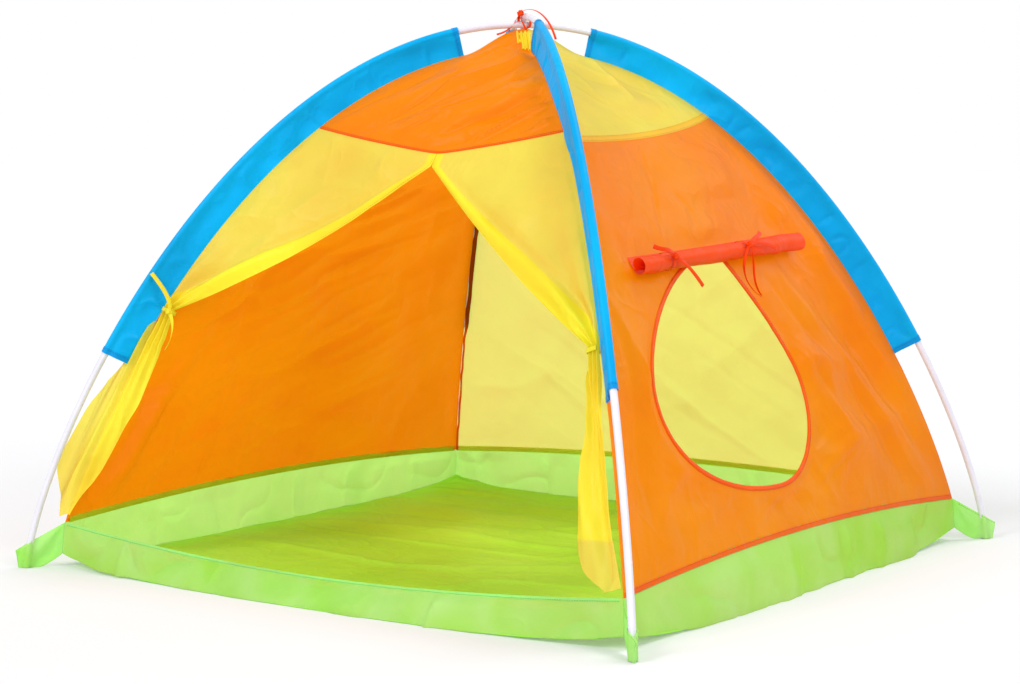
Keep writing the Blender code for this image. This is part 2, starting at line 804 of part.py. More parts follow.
class DoorCorner:
    """The line that a tied-back flap hangs from, at one front corner."""

    def __init__(self, hand, knot_height):
        self.hand = hand
        self.knot = place_at_height(knot_height)
        self.top = self.inset_point(self.knot)
        self.foot = self.inset_point(place_at_height(TAIL_FOOT))
        self.axis = (self.top - self.foot).normalized()
        into = Vector((-hand * math.cos(TAIL_TURN), math.sin(TAIL_TURN), 0))
        self.into = (into - self.axis * into.dot(self.axis)).normalized()
        self.out = self.axis.cross(self.into) * hand
        self.drop = (self.top - self.foot).length
        self.sleeve_way = Vector((hand, -1, 0)).normalized()
        self.sleeve_front = Vector((-hand, -1, 0)).normalized()

    def inset_point(self, place):
        seam = wall_point(self.hand, place)
        return seam + Vector((-self.hand * HINGE_INSET, HINGE_DEPTH, 0))

    def bundle(self, rise):
        """Row of points across the gathered cloth at a height above the knot's end."""
        row = []
        for w in shares(FLAP_COLUMNS):
            fold = flap_fold(w, BUNDLE_DEPTH) + CLOTH / 2
            row.append(self.top + self.axis * rise + self.into * (BUNDLE_WIDTH * w) + self.out * fold)
        return row

    def tie_point(self, across_share, out_share):
        """Point of the tape that goes round the gathered cloth."""
        reach = BUNDLE_WIDTH + SEAM_GAP + TAPE_THICK
        depth = BUNDLE_DEPTH + CLOTH / 2 + SEAM_GAP + TAPE_THICK
        middle = self.top + self.axis * (NECK_LENGTH / 2)
        return middle + self.into * (reach * across_share) + self.out * (depth * out_share)


def free_edge(corner, share):
    """Point of a flap's drawn-back edge, from the slit's end (0) to the bundle (1)."""
    start_place = place_at_height(BAND_HEIGHT - DOOR_BAND_DIP - SLIT_LENGTH)
    seam = on_path(SEAM, start_place).x / math.sqrt(2)
    side = corner.hand * SEAM_GAP
    start = wall_point((SLIT_SHIFT + side) / seam, start_place)
    end = corner.bundle(NECK_LENGTH)[-1]
    sag = -UP * (EDGE_SAG * 4 / 3)
    return bezier(start, start.lerp(end, 1 / 3) + sag, start.lerp(end, 2 / 3) + sag, end, share)


def door_band(across, depth=0.0):
    """Lower side of the seam between the top panel and the door flaps."""
    return wall_point(across, band_place(across, DOOR_BAND_DIP) - GAP_PLACE, depth)


def swag_top(corner, depth):
    """Row of points along a flap's upper seam, from its corner to the slit."""
    half = on_path(SEAM, band_place(0, DOOR_BAND_DIP)).x / math.sqrt(2)
    middle = (SLIT_SHIFT + corner.hand * SEAM_GAP) / half
    spots = [corner.hand + (middle - corner.hand) * w for w in shares(FLAP_COLUMNS)]
    for mark in (2 * share - 1 for share in shares(COLUMNS)):
        nearest = min(range(1, FLAP_COLUMNS), key=lambda n: abs(spots[n] - mark))
        if (mark - spots[0]) * (mark - spots[-1]) < 0:
            spots[nearest] = mark
    return [on_columns(lambda column: door_band(column, depth), across) for across in spots]


def make_swag(label, corner, parent):
    """Upper part of a door flap, drawn to its corner and gathered at the knot."""
    neck = corner.knot + NECK_LENGTH / STEP_LENGTH
    rows = seam_rows(neck + 1, band_place(1, DOOR_BAND_DIP) - LEAST_ROW_STEP)[-2:0:-1]
    front = [swag_top(corner, 0.0)]
    back = [swag_top(corner, CLOTH)]
    for index, row in enumerate(rows):
        share = index / len(rows)
        normal = wall_normal(row)
        edge = free_edge(corner, share)
        for grid, depth in ((front, 0.0), (back, CLOTH)):
            sewn = wall_point(corner.hand, row, depth)
            free = edge - normal * depth
            line = []
            for w in shares(FLAP_COLUMNS):
                line.append(sewn.lerp(free, w) + normal * flap_fold(w, SWAG_FOLD * share))
            grid.append(line)
    for rise in (NECK_LENGTH, SEAM_GAP):
        line = corner.bundle(rise)
        front.append(line)
        back.append([point - corner.out * CLOTH for point in line])
    name = f"{label}_door_swag"
    new_object(name, plate_mesh(name, front, back), "yellow_cloth", parent, front[0][0])


def make_tail(label, corner, width_shares, parent):
    """Lower part of a door flap, which hangs from the knot and swings about its corner."""
    axes = (corner.into, corner.out * corner.hand, corner.axis)
    hinge = hinge_empty(f"{label}_tail_hinge", corner.top, axes, parent)
    front = []
    back = []
    for share, width_share in width_shares:
        thinning = ease((share - TAIL_THIN_SHARE) / (1 - TAIL_THIN_SHARE))
        swell = ease(share / TAIL_FULL_SHARE) * (1 - thinning)
        depth = BUNDLE_DEPTH + (TAIL_FOLD - BUNDLE_DEPTH) * swell
        depth *= min(1.0, width_share / TAIL_NARROW_SHARE)
        for grid, face in ((front, CLOTH / 2), (back, -CLOTH / 2)):
            line = []
            for w in shares(FLAP_COLUMNS):
                fold = corner.hand * (flap_fold(w, depth) + face)
                line.append(Vector((TAIL_WIDTH * width_share * w, fold, -corner.drop * share)))
            grid.append(line)
    name = f"{label}_door_tail"
    new_object(name, plate_mesh(name, front, back), "yellow_cloth", hinge)


def make_door_tie(name, corner, knot, ends, parent):
    """Tape from the corner seam round the gathered flap."""
    path = [corner.tie_point(across_share, out_share) for across_share, out_share in DOOR_LOOP_SHARES]
    loop = ribbon_mesh(name, path, corner.axis, TAPE_WIDTH, TAPE_THICK)
    make_tie(name, "yellow_cloth", parent, loop, knot, ends)


def make_left_door_tie(corner, parent):
    """Tie knotted in front, with one end over the sleeve and one hanging beside the flap."""
    knot = corner.tie_point(LEFT_KNOT_SHARE, 1) + corner.out * KNOT_SEAT
    lift = KNOT_RADIUS
    rise = corner.axis * SLEEVE_END_RISE
    reach = corner.sleeve_way * SLEEVE_END_REACH
    over = loose_end(knot, rise, reach, corner.sleeve_front * lift, SLEEVE_END_SHARES)
    hanging = loose_end(knot, -corner.axis * HANGING_END_FALL, corner.into * HANGING_END_REACH,
                        corner.out * lift, HANGING_END_SHARES)
    ends = [(over, (rise + reach).cross(corner.sleeve_front)), (hanging, corner.into)]
    make_door_tie("left_door_tie", corner, knot, ends, parent)


def make_right_door_tie(corner, parent):
    """Tie knotted inside, where neither of its ends shows from in front."""
    knot = corner.tie_point(RIGHT_KNOT_SHARE, -1) - corner.out * KNOT_SEAT
    standing = loose_end(knot, corner.axis * STANDING_END_RISE, corner.into * STANDING_END_REACH,
                         -corner.out * KNOT_RADIUS, STANDING_END_SHARES)
    inwards = Vector((0, INNER_END_REACH, 0))
    inner = loose_end(knot, inwards, -UP * INNER_END_FALL, Vector(), INNER_END_SHARES)
    ends = [(standing, corner.into), (inner, corner.into)]
    make_door_tie("right_door_tie", corner, knot, ends, parent)


# Rolled window flap

def roll_centre():
    """(outwards, upwards) middle of the roll, from the middle of its seam."""
    return Vector((TAPE_THICK + 2 * SEAM_GAP + ROLL_RADIUS, -ROLL_DROP))


def roll_path():
    """(outwards, upwards) points of the flap, from its seam over the ties and into the roll."""
    centre = roll_centre()
    path = [Vector((0, 0)), Vector((centre.x - ROLL_RADIUS, -ROLL_SEAM_LENGTH))]
    for n in range(int(ROLL_TURNS * ROLL_STEPS_PER_TURN) + 1):
        turn = n / ROLL_STEPS_PER_TURN
        angle = math.pi + 2 * math.pi * turn
        reach = ROLL_RADIUS - ROLL_PITCH * turn
        path.append(centre + Vector((math.cos(angle), math.sin(angle))) * reach)
    return path


def roll_seam(along):
    """Point of the flap's seam, which climbs along the wall, drawn on the front wall."""
    place = place_at_height(ROLL_SEAM + ROLL_CLIMB_SHARE * along)
    half = on_path(SEAM, place).x / math.sqrt(2)
    return wall_point(along / half, place, -(ROLL_CLOTH / 2 + SEAM_GAP))


def make_roll(parent):
    """Spiral of cloth along the window's head, on a hinge at its top seam."""
    end = roll_seam(ROLL_RIGHT)
    along = (end - roll_seam(-ROLL_LEFT)).normalized()
    out = wall_normal(place_at_height(ROLL_SEAM))
    out = (out - along * out.dot(along)).normalized()
    middle = end - along * (end.x / along.x)
    hinge = hinge_empty("window_roll_hinge", middle, (along, -out, out.cross(along)), parent)
    path = roll_path()
    columns = [ROLL_RIGHT * share - ROLL_LEFT * (1 - share) for share in shares(ROLL_COLUMNS)]
    front = []
    back = []
    for index, point in enumerate(path):
        forward = (path[min(index + 1, len(path) - 1)] - path[max(index - 1, 0)]).normalized()
        side = Vector((forward.y, -forward.x)) * (ROLL_CLOTH / 2)
        for grid, spot in ((front, point + side), (back, point - side)):
            row = [Vector((column, -spot.x, spot.y)) for column in columns]
            grid.append(row)
    for grid in (front, back):
        for point, column in zip(grid[0], columns):
            point.y -= (roll_seam(column) - end).dot(out)
    new_object("window_roll", plate_mesh("window_roll", front, back), "red_tape", hinge)
    return hinge


def make_window_tie(label, along, turn, parent):
    """Tape from the roll's top seam round the roll, tied on its outer side."""
    ring = ROLL_RADIUS + ROLL_CLOTH / 2 + SEAM_GAP + TAPE_THICK / 2
    centre = roll_centre()
    path = []
    for step in shares(BAND_STEPS):
        angle = math.pi * (BAND_START_SHARE - (1 + BAND_START_SHARE) * step)
        spot = centre + Vector((math.cos(angle), math.sin(angle))) * ring
        path.append(Vector((along, -spot.x, spot.y)))
    path.append(Vector((along, path[-1].y, -ROLL_SEAM_LENGTH)))
    name = f"{label}_window_tie"
    side = Vector((1, 0, 0))
    loop = ribbon_mesh(name, path, side, TAPE_WIDTH, TAPE_THICK)
    knot = Vector((along, -centre.x - ring - KNOT_SEAT, centre.y))
    lift = Vector((0, -KNOT_RADIUS, 0))
    reach = side * (turn * WINDOW_END_ALONG)
    down = loose_end(knot, -UP * WINDOW_END_FALL, reach, lift, WINDOW_DOWN_SHARES)
    beside = loose_end(knot, reach, UP * (2 * KNOT_RADIUS), lift, WINDOW_ALONG_SHARES)
    make_tie(name, "red_tape", parent, loop, knot, [(down, UP + side), (beside, UP + side)])


# Tie at the poles' crossing

def make_peak_tie():
    """Tape from the cloth's peak round both poles, knotted on top."""
    wide = POLE_OUTER / 2 * math.sqrt(2) + TAPE_WIDTH / 2 + SEAM_GAP + TAPE_THICK / 2
    tall = POLE_OUTER + FIT_GAP / 2 + SEAM_GAP + TAPE_THICK / 2
    corner = POLE_OUTER / 4
    outline = [(wide, tall - corner), (wide - corner, tall), (corner - wide, tall), (-wide, tall - corner)]
    outline += [(-x, -z) for x, z in outline]
    rings = []
    for x, z in outline:
        for_out = Vector((x, 0, z)) * (TAPE_THICK / 2 / max(abs(x), abs(z)))
        centre = Vector((x, 0, POLE_RISE + z))
        across = Vector((0, TAPE_WIDTH / 2, 0))
        rings.append([centre + across + for_out, centre - across + for_out,
                      centre - across - for_out, centre + across - for_out])
    loop = hoop_mesh("peak_tie", rings)
    knot = Vector((-wide / 2, 0, POLE_RISE + tall + KNOT_SEAT))
    ahead = Vector((PEAK_END_LONG, 0, 0))
    behind = Vector((-PEAK_END_SHORT, PEAK_END_SHORT / 3, 0))
    lift = UP * KNOT_RADIUS
    long_end = loose_end(knot, ahead, -UP * PEAK_END_LONG, lift, PEAK_LONG_SHARES)
    short_end = loose_end(knot, behind, -UP * PEAK_END_SHORT, lift, PEAK_SHORT_SHARES)
    width_way = Vector((0, 1, 0))
    make_tie("peak_tie", "red_tape", None, loop, knot, [(long_end, width_way), (short_end, width_way)])


def main():
    clear_scene()
    corners = {name: frame(f"{name}_corner", turn) for name, turn in CORNERS.items()}
    sides = {name: frame(f"{name}_side", turn) for name, turn in SIDES.items()}
    make_pole("lower_pole", LOWER_ARCH, corners["back_right"])
    make_pole("upper_pole", UPPER_ARCH, corners["front_right"])
    for corner, parent in corners.items():
        arch = LOWER_ARCH if corner in ("back_right", "front_left") else UPPER_ARCH
        make_sleeve(corner, arch, parent)
        make_pocket(corner, arch, parent)
    make_top_panel("front", DOOR_BAND_DIP, "orange_cloth", sides["front"])
    make_top_panel("right", WALL_BAND_DIP, "yellow_cloth", sides["right"])
    make_top_panel("back", WALL_BAND_DIP, "orange_cloth", sides["back"])
    make_top_panel("left", WALL_BAND_DIP, "yellow_cloth", sides["left"])
    window_wall = make_lower_wall("right", "orange_cloth", sides["right"])
    make_lower_wall("back", "yellow_cloth", sides["back"])
    make_lower_wall("left", "orange_cloth", sides["left"])
    make_window(window_wall, sides["right"])
    make_strip("front", sill_top, DOOR_BULGE, sides["front"])
    for side in ("right", "back", "left"):
        make_strip(side, wall_foot, WALL_BULGE, sides[side])
    make_floor()
    left = DoorCorner(-1, LEFT_KNOT)
    right = DoorCorner(1, RIGHT_KNOT)
    flaps = (("left", left, LEFT_TAIL_SHARES), ("right", right, RIGHT_TAIL_SHARES))
    for label, corner, width_shares in flaps:
        make_swag(label, corner, sides["front"])
        make_tail(label, corner, width_shares, sides["front"])
    make_left_door_tie(left, sides["front"])
    make_right_door_tie(right, sides["front"])
    roll = make_roll(sides["right"])
    make_window_tie("left", -LEFT_TIE_PLACE, -1, roll)
    make_window_tie("right", RIGHT_TIE_PLACE, 1, roll)
    make_peak_tie()


main()
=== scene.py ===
# %% [markdown]
# # A kids play tent, dressed round its frame
#
# The tent is a square dome of thin nylon. Two bendy white poles cross at the top and run in
# blue sleeves down to the four corners. Three walls, four top panels, a tub floor, a tied-back
# door and a rolled-up window flap hang from them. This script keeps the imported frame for
# placing and motion, and builds every cloth again with folds, hems, seams and stitches.

# %% Load the frame
import math

import bpy
import numpy as np
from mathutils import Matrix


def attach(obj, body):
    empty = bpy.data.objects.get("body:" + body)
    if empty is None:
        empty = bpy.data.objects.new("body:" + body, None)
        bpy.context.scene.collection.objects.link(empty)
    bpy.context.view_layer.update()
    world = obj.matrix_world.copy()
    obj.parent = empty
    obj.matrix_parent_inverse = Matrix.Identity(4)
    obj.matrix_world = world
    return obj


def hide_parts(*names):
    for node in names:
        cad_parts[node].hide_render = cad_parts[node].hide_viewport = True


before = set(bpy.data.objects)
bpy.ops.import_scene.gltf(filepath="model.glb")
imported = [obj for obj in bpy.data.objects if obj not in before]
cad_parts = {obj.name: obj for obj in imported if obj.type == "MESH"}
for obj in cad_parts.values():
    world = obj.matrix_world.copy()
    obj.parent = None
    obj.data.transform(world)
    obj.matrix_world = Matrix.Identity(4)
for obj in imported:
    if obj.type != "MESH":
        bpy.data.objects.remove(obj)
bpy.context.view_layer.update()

# %% [markdown]
# The camera comes first, because every later choice is judged through it. It stands a little
# above the tent's middle, in front of the right front corner, and looks slightly down. A long
# lens keeps the near corner from looking swollen.

# %% Camera
CAMERA_PLACE = (2.237, -3.232, 0.717)
CAMERA_YAW, CAMERA_PITCH, CAMERA_ROLL = 0.6116, 0.0893, -0.0014
LENS, SENSOR = 81.31, 36.0

camera = bpy.data.objects.new("camera", bpy.data.cameras.new("camera"))
bpy.context.scene.collection.objects.link(camera)
bpy.context.scene.camera = camera
camera.location = CAMERA_PLACE
camera.rotation_euler = (math.pi / 2 - CAMERA_PITCH, CAMERA_ROLL, CAMERA_YAW)
camera.data.lens, camera.data.sensor_width = LENS, SENSOR
print("camera at", CAMERA_PLACE)

# %% [markdown]
# Everything on this tent follows from one bent pole. Its half is a cubic curve from the foot to
# the crown, walked at equal steps. A place on it is a number from 0, the foot, to 20, the crown.
# numpy works on whole rows of points at once, which suits cloth grids.

# %% The poles' curve
POLE_REACH, POLE_RISE, POLE_OUTER, POLE_WALL = 0.840, 0.910, 0.0115, 0.0015
FOOT_LEAN, FOOT_HANDLE, CROWN_HANDLE = math.radians(84.5), 0.191, 0.500
FIT_GAP, CLOTH, SEAM_GAP = 0.0003, 0.001, 0.0003
CROWN, SECTIONS = 20, 5
FINE = 2001
PLACES = np.linspace(0, CROWN, FINE)
ROOT2 = math.sqrt(2)


def ease(share):
    """Smooth step from 0 to 1."""
    share = np.clip(share, 0.0, 1.0)
    return share * share * (3 - 2 * share)


def unit(vectors):
    """Vectors of length 1 along these."""
    return vectors / np.maximum(np.linalg.norm(vectors, axis=-1, keepdims=True), 1e-12)


def bezier(a, b, c, d, share):
    """Points of a cubic curve."""
    t = np.asarray(share, float)[..., None]
    s = 1 - t
    a, b, c, d = (np.asarray(spot) for spot in (a, b, c, d))
    return a * s ** 3 + b * 3 * s * s * t + c * 3 * s * t * t + d * t ** 3


def evenly(points, count):
    """A polyline walked again at equal steps."""
    walked = np.r_[0, np.cumsum(np.linalg.norm(np.diff(points, axis=0), axis=1))]
    goals = np.linspace(0, walked[-1], count)
    return np.stack([np.interp(goals, walked, points[:, k]) for k in range(points.shape[1])], 1)


def half_arch(rise):
    """(reach, height) from a foot, just clear of its pocket's cloth, to the crown."""
    lean = np.array((-math.cos(FOOT_LEAN), math.sin(FOOT_LEAN)))
    foot = np.array((POLE_REACH, CLOTH + FIT_GAP - POLE_OUTER / 2 * lean[0]))
    walk = np.linspace(0, 1, 2 * FINE)
    curve = bezier(foot, foot + FOOT_HANDLE * lean, (CROWN_HANDLE, rise), (0, rise), walk)
    return evenly(curve, FINE)


def at(table, place):
    """Row of a table at places along the half pole."""
    return np.stack([np.interp(place, PLACES, table[:, k]) for k in range(table.shape[1])], -1)


def climb_of(table):
    """Which way a curve runs at each row of its table."""
    return unit(np.gradient(table, axis=0))


RUB = POLE_OUTER / 2 + FIT_GAP / 2
LOWER_ARCH = half_arch(POLE_RISE - RUB)
UPPER_ARCH = half_arch(POLE_RISE + RUB)
MEAN_ARCH = half_arch(POLE_RISE)
STEP_LENGTH = float(np.linalg.norm(np.diff(MEAN_ARCH, axis=0), axis=1).sum()) / CROWN
print("half a pole:", round(STEP_LENGTH * CROWN, 3), "m")

# %% [markdown]
# The corner seams, where two walls and a sleeve meet, run a sleeve's width inside the poles.
# With the seam known, a wall needs only two numbers for a point: how far across it is, from -1
# to 1, and its place up the seams. All walls are worked out as if in front, and then turned.

# %% Seams and walls
SLEEVE_WIDTH, SLEEVE_FROM_FOOT, SLEEVE_FROM_CROWN = 0.047, 0.382, 0.115
TAPE_WIDTH, TAPE_THICK = 0.007, 0.0008
BAND_HEIGHT, WALL_BAND_DIP, PEAK_REACH = 0.735, 0.022, 0.003
TUB_CORNER, STRIP_MIDDLE, SILL_MIDDLE = 0.0747, 0.096, 0.045
WALL_SAG = 0.006
SLIT_SHIFT, SLIT_LENGTH = 0.020, 0.022
BAND_LOW, BAND_SLOPE, BAND_HALF, BAND_ROUNDING = 0.6905, 0.144, 0.25, 0.012
RIGHT_BAND_HEIGHT, RIGHT_BAND_CLIMB, RIGHT_BAND_DIP = 0.7290, 0.0200, 0.0100
SLEEVE_LOW = SLEEVE_FROM_FOOT / STEP_LENGTH
SLEEVE_HIGH = CROWN - SLEEVE_FROM_CROWN / STEP_LENGTH
PEAK_DROP = POLE_OUTER + FIT_GAP / 2 + TAPE_THICK + 2 * SEAM_GAP
SIDES = {"front": 0, "right": 90, "back": 180, "left": 270}
CORNERS = {"back_right": 45, "back_left": 135, "front_left": 225, "front_right": 315}


def corner_seam():
    """(reach, height) of the corner seams."""
    climb = climb_of(MEAN_ARCH)
    normal = np.stack([climb[:, 1], -climb[:, 0]], 1)
    share = ease((CROWN - PLACES) / (CROWN - SLEEVE_HIGH))
    drop = PEAK_DROP + (SLEEVE_WIDTH - PEAK_DROP) * share
    return MEAN_ARCH - normal * drop[:, None]


SEAM = corner_seam()
SEAM_CLIMB = climb_of(SEAM)
MITRE = SEAM_GAP / ROOT2


def place_at_height(height):
    """Place up the seams at a height in metres."""
    return np.interp(height, SEAM[:, 1], PLACES)


HEM = float(place_at_height(TUB_CORNER))
PEAK = CROWN - PEAK_REACH / STEP_LENGTH
GAP_PLACE = SEAM_GAP / STEP_LENGTH


def half_width(place):
    """Half a wall's width between its seams."""
    return at(SEAM, place)[..., 0] / ROOT2


def wall_normal(place):
    """Outward direction of the front wall at places up its seams."""
    climb = at(SEAM_CLIMB, place)
    profile = unit(np.stack([climb[..., 0] / ROOT2, climb[..., 1]], -1))
    return np.stack([0 * profile[..., 0], -profile[..., 1], -profile[..., 0]], -1)


def wall_point(across, place, depth=0.0):
    """Points of the front wall, depth metres into the cloth from its outer face."""
    across, place, depth = np.broadcast_arrays(np.asarray(across, float), np.asarray(place, float), depth)
    seam, normal = at(SEAM, place), wall_normal(place)
    half = seam[..., 0] / ROOT2
    bow = np.sin(np.pi * np.clip((place - HEM) / (PEAK - HEM), 0, 1))
    inward = depth + WALL_SAG * bow * (1 - across ** 2)
    x = across * (half + depth * normal[..., 1] - MITRE)
    return np.stack([x, -half - inward * normal[..., 1], seam[..., 1] - inward * normal[..., 2]], -1)


def hem_place(across):
    """The walls' foot, which rises between the corners."""
    return place_at_height(TUB_CORNER + (STRIP_MIDDLE - TUB_CORNER) * (1 - across ** 2))


def door_band_height(across):
    """The front seam runs down to the slit in two almost straight lines."""
    from_slit = BAND_HALF * np.asarray(across, float) - SLIT_SHIFT
    return BAND_LOW + BAND_SLOPE * np.hypot(from_slit, BAND_ROUNDING)


def turned(points, degrees):
    """Points turned about the tent's middle."""
    c, s = math.cos(math.radians(degrees)), math.sin(math.radians(degrees))
    x, y = points[..., 0], points[..., 1]
    return np.stack([x * c - y * s, x * s + y * c, points[..., 2]], -1)


print("band at", BAND_HEIGHT, "m, half width at the hem", round(float(half_width(HEM)), 3), "m")

# %% [markdown]
# Thin nylon is never smooth. Three kinds of relief are mixed: slow swells as wide as a hand,
# sharp creases left from the carrying bag, and small puckers where a seam gathers the cloth.
# They are real displacement, so that light and outline show them, and they fade out at seams so
# that neighbours stay joined. Noise from a seeded table gives the same tent each time.

# %% Relief of thin cloth
SWELL_CELL, SWELL_HEIGHT = 0.17, 0.0090
SMALL_CELL, SMALL_HEIGHT = 0.07, 0.0024
CREASE_CELL, CREASE_HEIGHT = 0.14, 0.0070
BAG_CELL, BAG_DEPTH = 0.065, 0.0013
GRAIN_CELL, GRAIN_HEIGHT = 0.022, 0.0003


def noise(points, seed):
    """Smooth noise from -1 to 1. The points are measured in its cells."""
    table = np.random.default_rng(seed).uniform(-1, 1, (32, 32, 32))
    cell = np.floor(points).astype(int)
    part = points - cell
    part = part * part * (3 - 2 * part)
    total = 0.0
    for corner in np.ndindex(2, 2, 2):
        index = (cell + corner) % 32
        weight = np.prod(np.where(corner, part, 1 - part), axis=-1)
        total = total + table[index[..., 0], index[..., 1], index[..., 2]] * weight
    return total


def creased(points, seed):
    """Thin ridges along wandering lines, 0 to 1."""
    return np.clip(1 - 2.2 * np.abs(noise(points, seed)), 0, 1) ** 2


def crumple(points, seed, amount=1.0):
    """How far crumpled cloth stands off its smooth form, in metres."""
    swell = SWELL_HEIGHT * noise(points / SWELL_CELL, seed)
    swell = swell + SMALL_HEIGHT * noise(points / SMALL_CELL, seed + 1)
    crease = CREASE_HEIGHT * creased(points / CREASE_CELL, seed + 2)
    crease = crease - BAG_DEPTH * creased(points / BAG_CELL, seed + 3)
    return amount * (swell + crease + GRAIN_HEIGHT * noise(points / GRAIN_CELL, seed + 4))


def fold_line(across, height, start, end, width, depth):
    """A long soft fold from start to end, both given across and up in metres."""
    start, run = np.array(start), np.subtract(end, start)
    x, y = across - start[0], height - start[1]
    share = np.clip((x * run[0] + y * run[1]) / (run @ run), 0, 1)
    off = np.hypot(x - share * run[0], y - share * run[1])
    return depth * np.exp(-(off / width) ** 2) * np.sin(np.pi * (0.06 + 0.88 * share))


def drawn_folds(across, height, seed, angle, long, short, depth, spot, reach):
    """Many long narrow folds along one way, strongest round a spot."""
    c, s = math.cos(math.radians(angle)), math.sin(math.radians(angle))
    along, off = across * c + height * s, height * c - across * s
    cell = np.stack([along / long, off / short, 0 * along + 0.5], -1)
    ridges = 0.9 * creased(cell * (1, 0.8, 1), seed + 1)
    valleys = 0.4 * creased(cell * (1, 1.3, 1), seed + 2)
    wave = 0.8 * noise(cell, seed) + ridges - valleys
    far = ((across - spot[0]) ** 2 + (height - spot[1]) ** 2) / reach ** 2
    return depth * wave * np.exp(-far)


print("relief ready")

# %% [markdown]
# A mesh from a grid of points is the work horse here: rows and columns of points, a square face
# between each four, smooth shading. Each piece gets its finish, rides on a body of the frame and
# takes the place of the plain solids behind it. A vertex attribute says where the cloth lies in
# two layers, such as a hem, and on the corner seams also where a painted shadow falls. The finish
# reads it.

# %% From grids to pieces
def grid_faces(rows, columns, wrap=False):
    """Squares of a grid. With wrap the last column joins the first."""
    r = np.arange(rows - 1)[:, None] * columns
    c = np.arange(columns if wrap else columns - 1)[None]
    right = (c + 1) % columns
    return np.stack([r + c, r + right, r + columns + right, r + columns + c], -1).reshape(-1, 4)


def make_piece(name, points, faces, finish, body="tent", doubled=0.0, replaces=(), slot=None):
    """An object of these points and faces, riding on its body."""
    mesh = bpy.data.meshes.new(name)
    spots = np.asarray(points, float).reshape(-1, 3).tolist()
    mesh.from_pydata(spots, [], [list(map(int, face)) for face in faces])
    mesh.shade_smooth()
    mesh.materials.append(finish)
    layers = mesh.attributes.new("doubled", "FLOAT", "POINT")
    share = np.broadcast_to(doubled, np.shape(points)[:-1]).ravel()
    layers.data.foreach_set("value", share.astype(np.float32))
    thing = bpy.data.objects.new(name, mesh)
    bpy.context.scene.collection.objects.link(thing)
    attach(thing, body)
    if replaces:
        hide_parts(*replaces)
    return thing


def make_sheet(name, grid, finish, body="tent", **more):
    """A piece whose points are the rows and columns of a grid."""
    return make_piece(name, grid, grid_faces(*grid.shape[:2]), finish, body, **more)


def cloth_area(grid):
    """Area of a grid of points, in square metres."""
    a, b = np.diff(grid, axis=0)[:, :-1], np.diff(grid, axis=1)[:-1]
    return float(np.linalg.norm(np.cross(a, b), axis=-1).sum())


print("sheet builders ready")

# %% [markdown]
# Hems, ties and bindings are narrow tapes with rounded edges, swept along a line. Rows of stitches
# are real little bars of thread, because up close a seam is known by them.

# %% Tapes and stitches
ROUNDED = 1.35


def rim_strip(centre, side, up, width, thick, sides=8):
    """Points of a rounded tape along a centreline: side and up are unit ways across it."""
    angle = 2 * np.pi * (np.arange(sides) + 0.5) / sides
    x = np.clip(ROUNDED * np.cos(angle), -1, 1)[None, :, None] * width / 2
    y = np.clip(ROUNDED * np.sin(angle), -1, 1)[None, :, None] * thick / 2
    return centre[:, None] + side[:, None] * x + up[:, None] * y


def closed_bar(rings):
    """Points and faces of a bar through rings, with its ends filled."""
    rows, columns = rings.shape[:2]
    faces = grid_faces(rows, columns, wrap=True).tolist()
    faces += [list(range(columns))[::-1], list(range((rows - 1) * columns, rows * columns))]
    return rings, faces


def tape(name, path, width_way, finish, body="tent", width=TAPE_WIDTH, thick=TAPE_THICK, twist=0.0, **more):
    """Flat tape along a path, its width along one way, turning by twist degrees to its end."""
    path = np.asarray(path, float)
    along = unit(np.gradient(path, axis=0))
    way = np.broadcast_to(width_way, path.shape)
    side = unit(way - along * (way * along).sum(-1, keepdims=True))
    up = np.cross(along, side)
    angle = np.radians(twist) * ease(np.linspace(0, 1, len(path)))[:, None]
    side, up = side * np.cos(angle) + up * np.sin(angle), up * np.cos(angle) - side * np.sin(angle)
    return make_piece(name, *closed_bar(rim_strip(path, side, up, width, thick)), finish, body, 1.0, **more)


def stitches(name, path, up, finish, pitch=0.0042, length=0.0030, thick=0.0005, lift=0.0004):
    """A row of stitches along a path: small rounded bars on the cloth's face."""
    path = np.asarray(path, float)
    count = max(int(np.linalg.norm(np.diff(path, axis=0), axis=1).sum() / pitch), 2)
    walked = np.r_[0, np.cumsum(np.linalg.norm(np.diff(path, axis=0), axis=1))]
    goals = np.linspace(0, walked[-1], count + 1)

    def pick(rows):
        return np.stack([np.interp(goals, walked, rows[:, k]) for k in range(3)], 1)

    spots, ups = pick(path), unit(pick(np.broadcast_to(up, path.shape)))
    middle, along = (spots[1:] + spots[:-1]) / 2, unit(np.diff(spots, axis=0))
    ups = ups[1:]
    side = unit(np.cross(along, ups))
    middle = middle + ups * lift
    reach = np.array([-0.5, -0.36, 0.36, 0.5]) * length
    swell = np.array([0.35, 1.0, 1.0, 0.35]) * thick / 2
    ring = np.array([(1, 0), (0, 1), (-1, 0), (0, -1)], float)
    points = (middle[:, None, None] + along[:, None, None] * reach[None, :, None, None]
              + side[:, None, None] * (swell[:, None] * ring[:, 0])[None, :, :, None]
              + ups[:, None, None] * (swell[:, None] * ring[:, 1])[None, :, :, None])
    bar = grid_faces(4, 4, wrap=True).tolist() + [[3, 2, 1, 0], [12, 13, 14, 15]]
    faces = [[corner + 16 * n for corner in face] for n in range(count) for face in bar]
    return make_piece(name, points, faces, finish)


print("tape and stitch builders ready")

# %% [markdown]
# Finishes are node trees, written as Python sums. The small class below wraps a socket, so that
# `0.9 + 0.1 * clouds` adds its Math nodes by itself. Every other node comes from one method.

